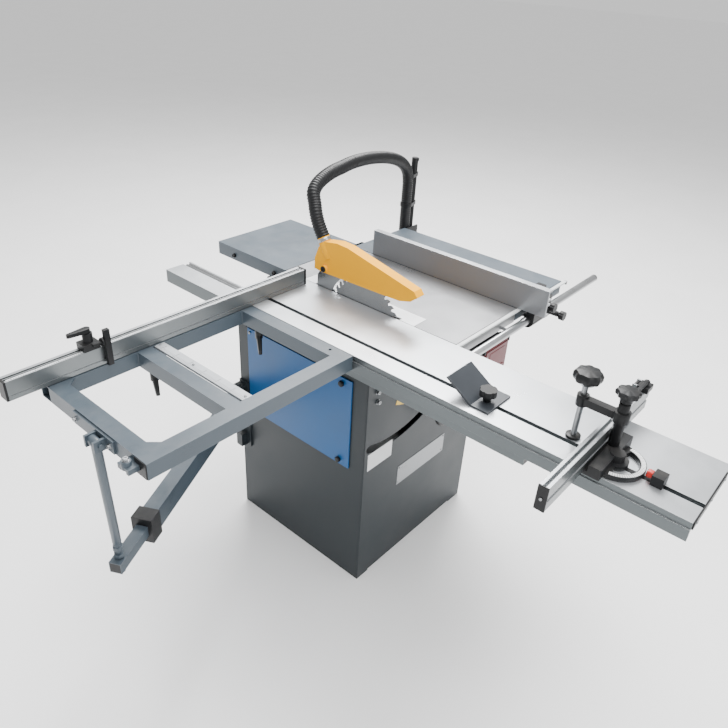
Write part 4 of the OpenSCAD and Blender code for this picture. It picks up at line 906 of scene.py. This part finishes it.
def blade_plate(middle, radius):
    """The plate with its gullets: on each face a toothed ring, a round one below the teeth, and the bore."""
    outline = [(share * radius, 2 * math.pi * (k + through) / TEETH)
               for k in range(TEETH) for through, share in TOOTH]
    count = len(outline)
    rows = [outline] + [[(r, a) for _, a in outline] for r in (radius * ROOT_SHARE, BORE_RADIUS)]
    verts = [middle + Vector((x, r * math.cos(a), r * math.sin(a)))
             for x in (-BLADE_HALF, BLADE_HALF) for row in rows for r, a in row]
    far = len(rows) * count
    bore = 2 * count
    faces = []
    for k in range(count):
        nxt = (k + 1) % count
        for a, b in ((0, count), (count, bore)):
            faces.append((a + k, a + nxt, b + nxt, b + k))
            faces.append((far + b + k, far + b + nxt, far + a + nxt, far + a + k))
        faces.append((far + k, far + nxt, nxt, k))
        faces.append((bore + k, bore + nxt, far + bore + nxt, far + bore + k))
    return verts, faces


def tip_blocks(middle, radius):
    """A carbide tip on the face of every tooth, a little wider than the plate."""
    sides = ((0, 1, 2, 3), (7, 6, 5, 4), (0, 4, 5, 1), (1, 5, 6, 2), (2, 6, 7, 3), (3, 7, 4, 0))
    verts, faces = [], []
    for k in range(TEETH):
        turn = 2 * math.pi * (k + TIP_PLACE) / TEETH
        outward = Vector((0, math.cos(turn), math.sin(turn)))
        back = Vector((0, math.sin(turn), -math.cos(turn)))
        start = len(verts)
        for x in (-TIP_HALF, TIP_HALF):
            for share, behind in TIP:
                verts.append(middle + Vector((x, 0, 0)) + outward * radius * share + back * behind * MM)
        faces += [tuple(start + corner for corner in side) for side in sides]
    return verts, faces


def add_blade():
    lo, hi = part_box("saw_blade")
    middle, radius = (lo + hi) / 2, (hi.z - lo.z) / 2
    blade = make_piece("blade", *blade_plate(middle, radius), "blade", "blade_unit", smooth=False)
    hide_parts("saw_blade")
    make_piece("carbide_tips", *tip_blocks(middle, radius), "carbide", "blade_unit", smooth=False)


# ---- studio ----

FLOOR_REACH = 30
WORLD_STRENGTH = 0.86
LIGHT_AIM = Vector((-0.1, -0.1, 0.7))
# Name, place in metres, size in metres and power in watts of each soft light.
LIGHTS = (("key", (1.6, 1.2, 4.0), 2.4, 420), ("top", (-0.8, -1.4, 4.4), 3.0, 170),
          ("front", (-0.4, -4.6, 2.4), 2.4, 60))


def floor_material():
    graph = Graph("floor_pale")
    mottle = graph.remap(graph.noise(3, 5), NOISE_LOW, NOISE_HIGH, 0, 1)
    graph.into("Base Color", graph.mix(mottle, (0.93, 0.93, 0.93, 1), (0.96, 0.96, 0.96, 1)))
    graph.into("Roughness", graph.remap(mottle, 0, 1, 0.7, 0.8))
    return graph.material


def add_floor():
    mesh = bpy.data.meshes.new("floor")
    corners = [(x * FLOOR_REACH, y * FLOOR_REACH, 0) for x, y in ((-1, -1), (1, -1), (1, 1), (-1, 1))]
    mesh.from_pydata(corners, [], [(0, 1, 2, 3)])
    mesh.materials.append(floor_material())
    ground = bpy.data.objects.new("floor", mesh)
    bpy.context.scene.collection.objects.link(ground)


def add_lights():
    world = bpy.data.worlds.new("studio")
    world.use_nodes = True
    sky = world.node_tree.nodes["Background"]
    sky.inputs["Color"].default_value = (1.0, 1.0, 1.0, 1)
    sky.inputs["Strength"].default_value = WORLD_STRENGTH
    bpy.context.scene.world = world
    for name, at, size, power in LIGHTS:
        light = bpy.data.lights.new(name, "AREA")
        light.size = size
        light.energy = power
        lamp = bpy.data.objects.new(name, light)
        lamp.location = at
        lamp.rotation_mode = "QUATERNION"
        lamp.rotation_quaternion = (LIGHT_AIM - Vector(at)).to_track_quat("-Z", "Y")
        bpy.context.scene.collection.objects.link(lamp)


# ---- build ----

add_camera()
hose_fittings(add_hose())
dress_cad_nodes()
fence_caps()
mitre_fence_fittings()
tube_and_beam_caps()
rail_and_column_caps()
scale_strips()
cabinet_labels()
degree_ring()
cabinet_bolts()
end_plate_screws()
frame_bolts()
arm_bolts()
weld_beads()
clamp_screw_grips()
guard_bolt_cap()
post_knob()
mitre_lock_knob()
paddle_details()
add_blade()
add_floor()
add_lights()
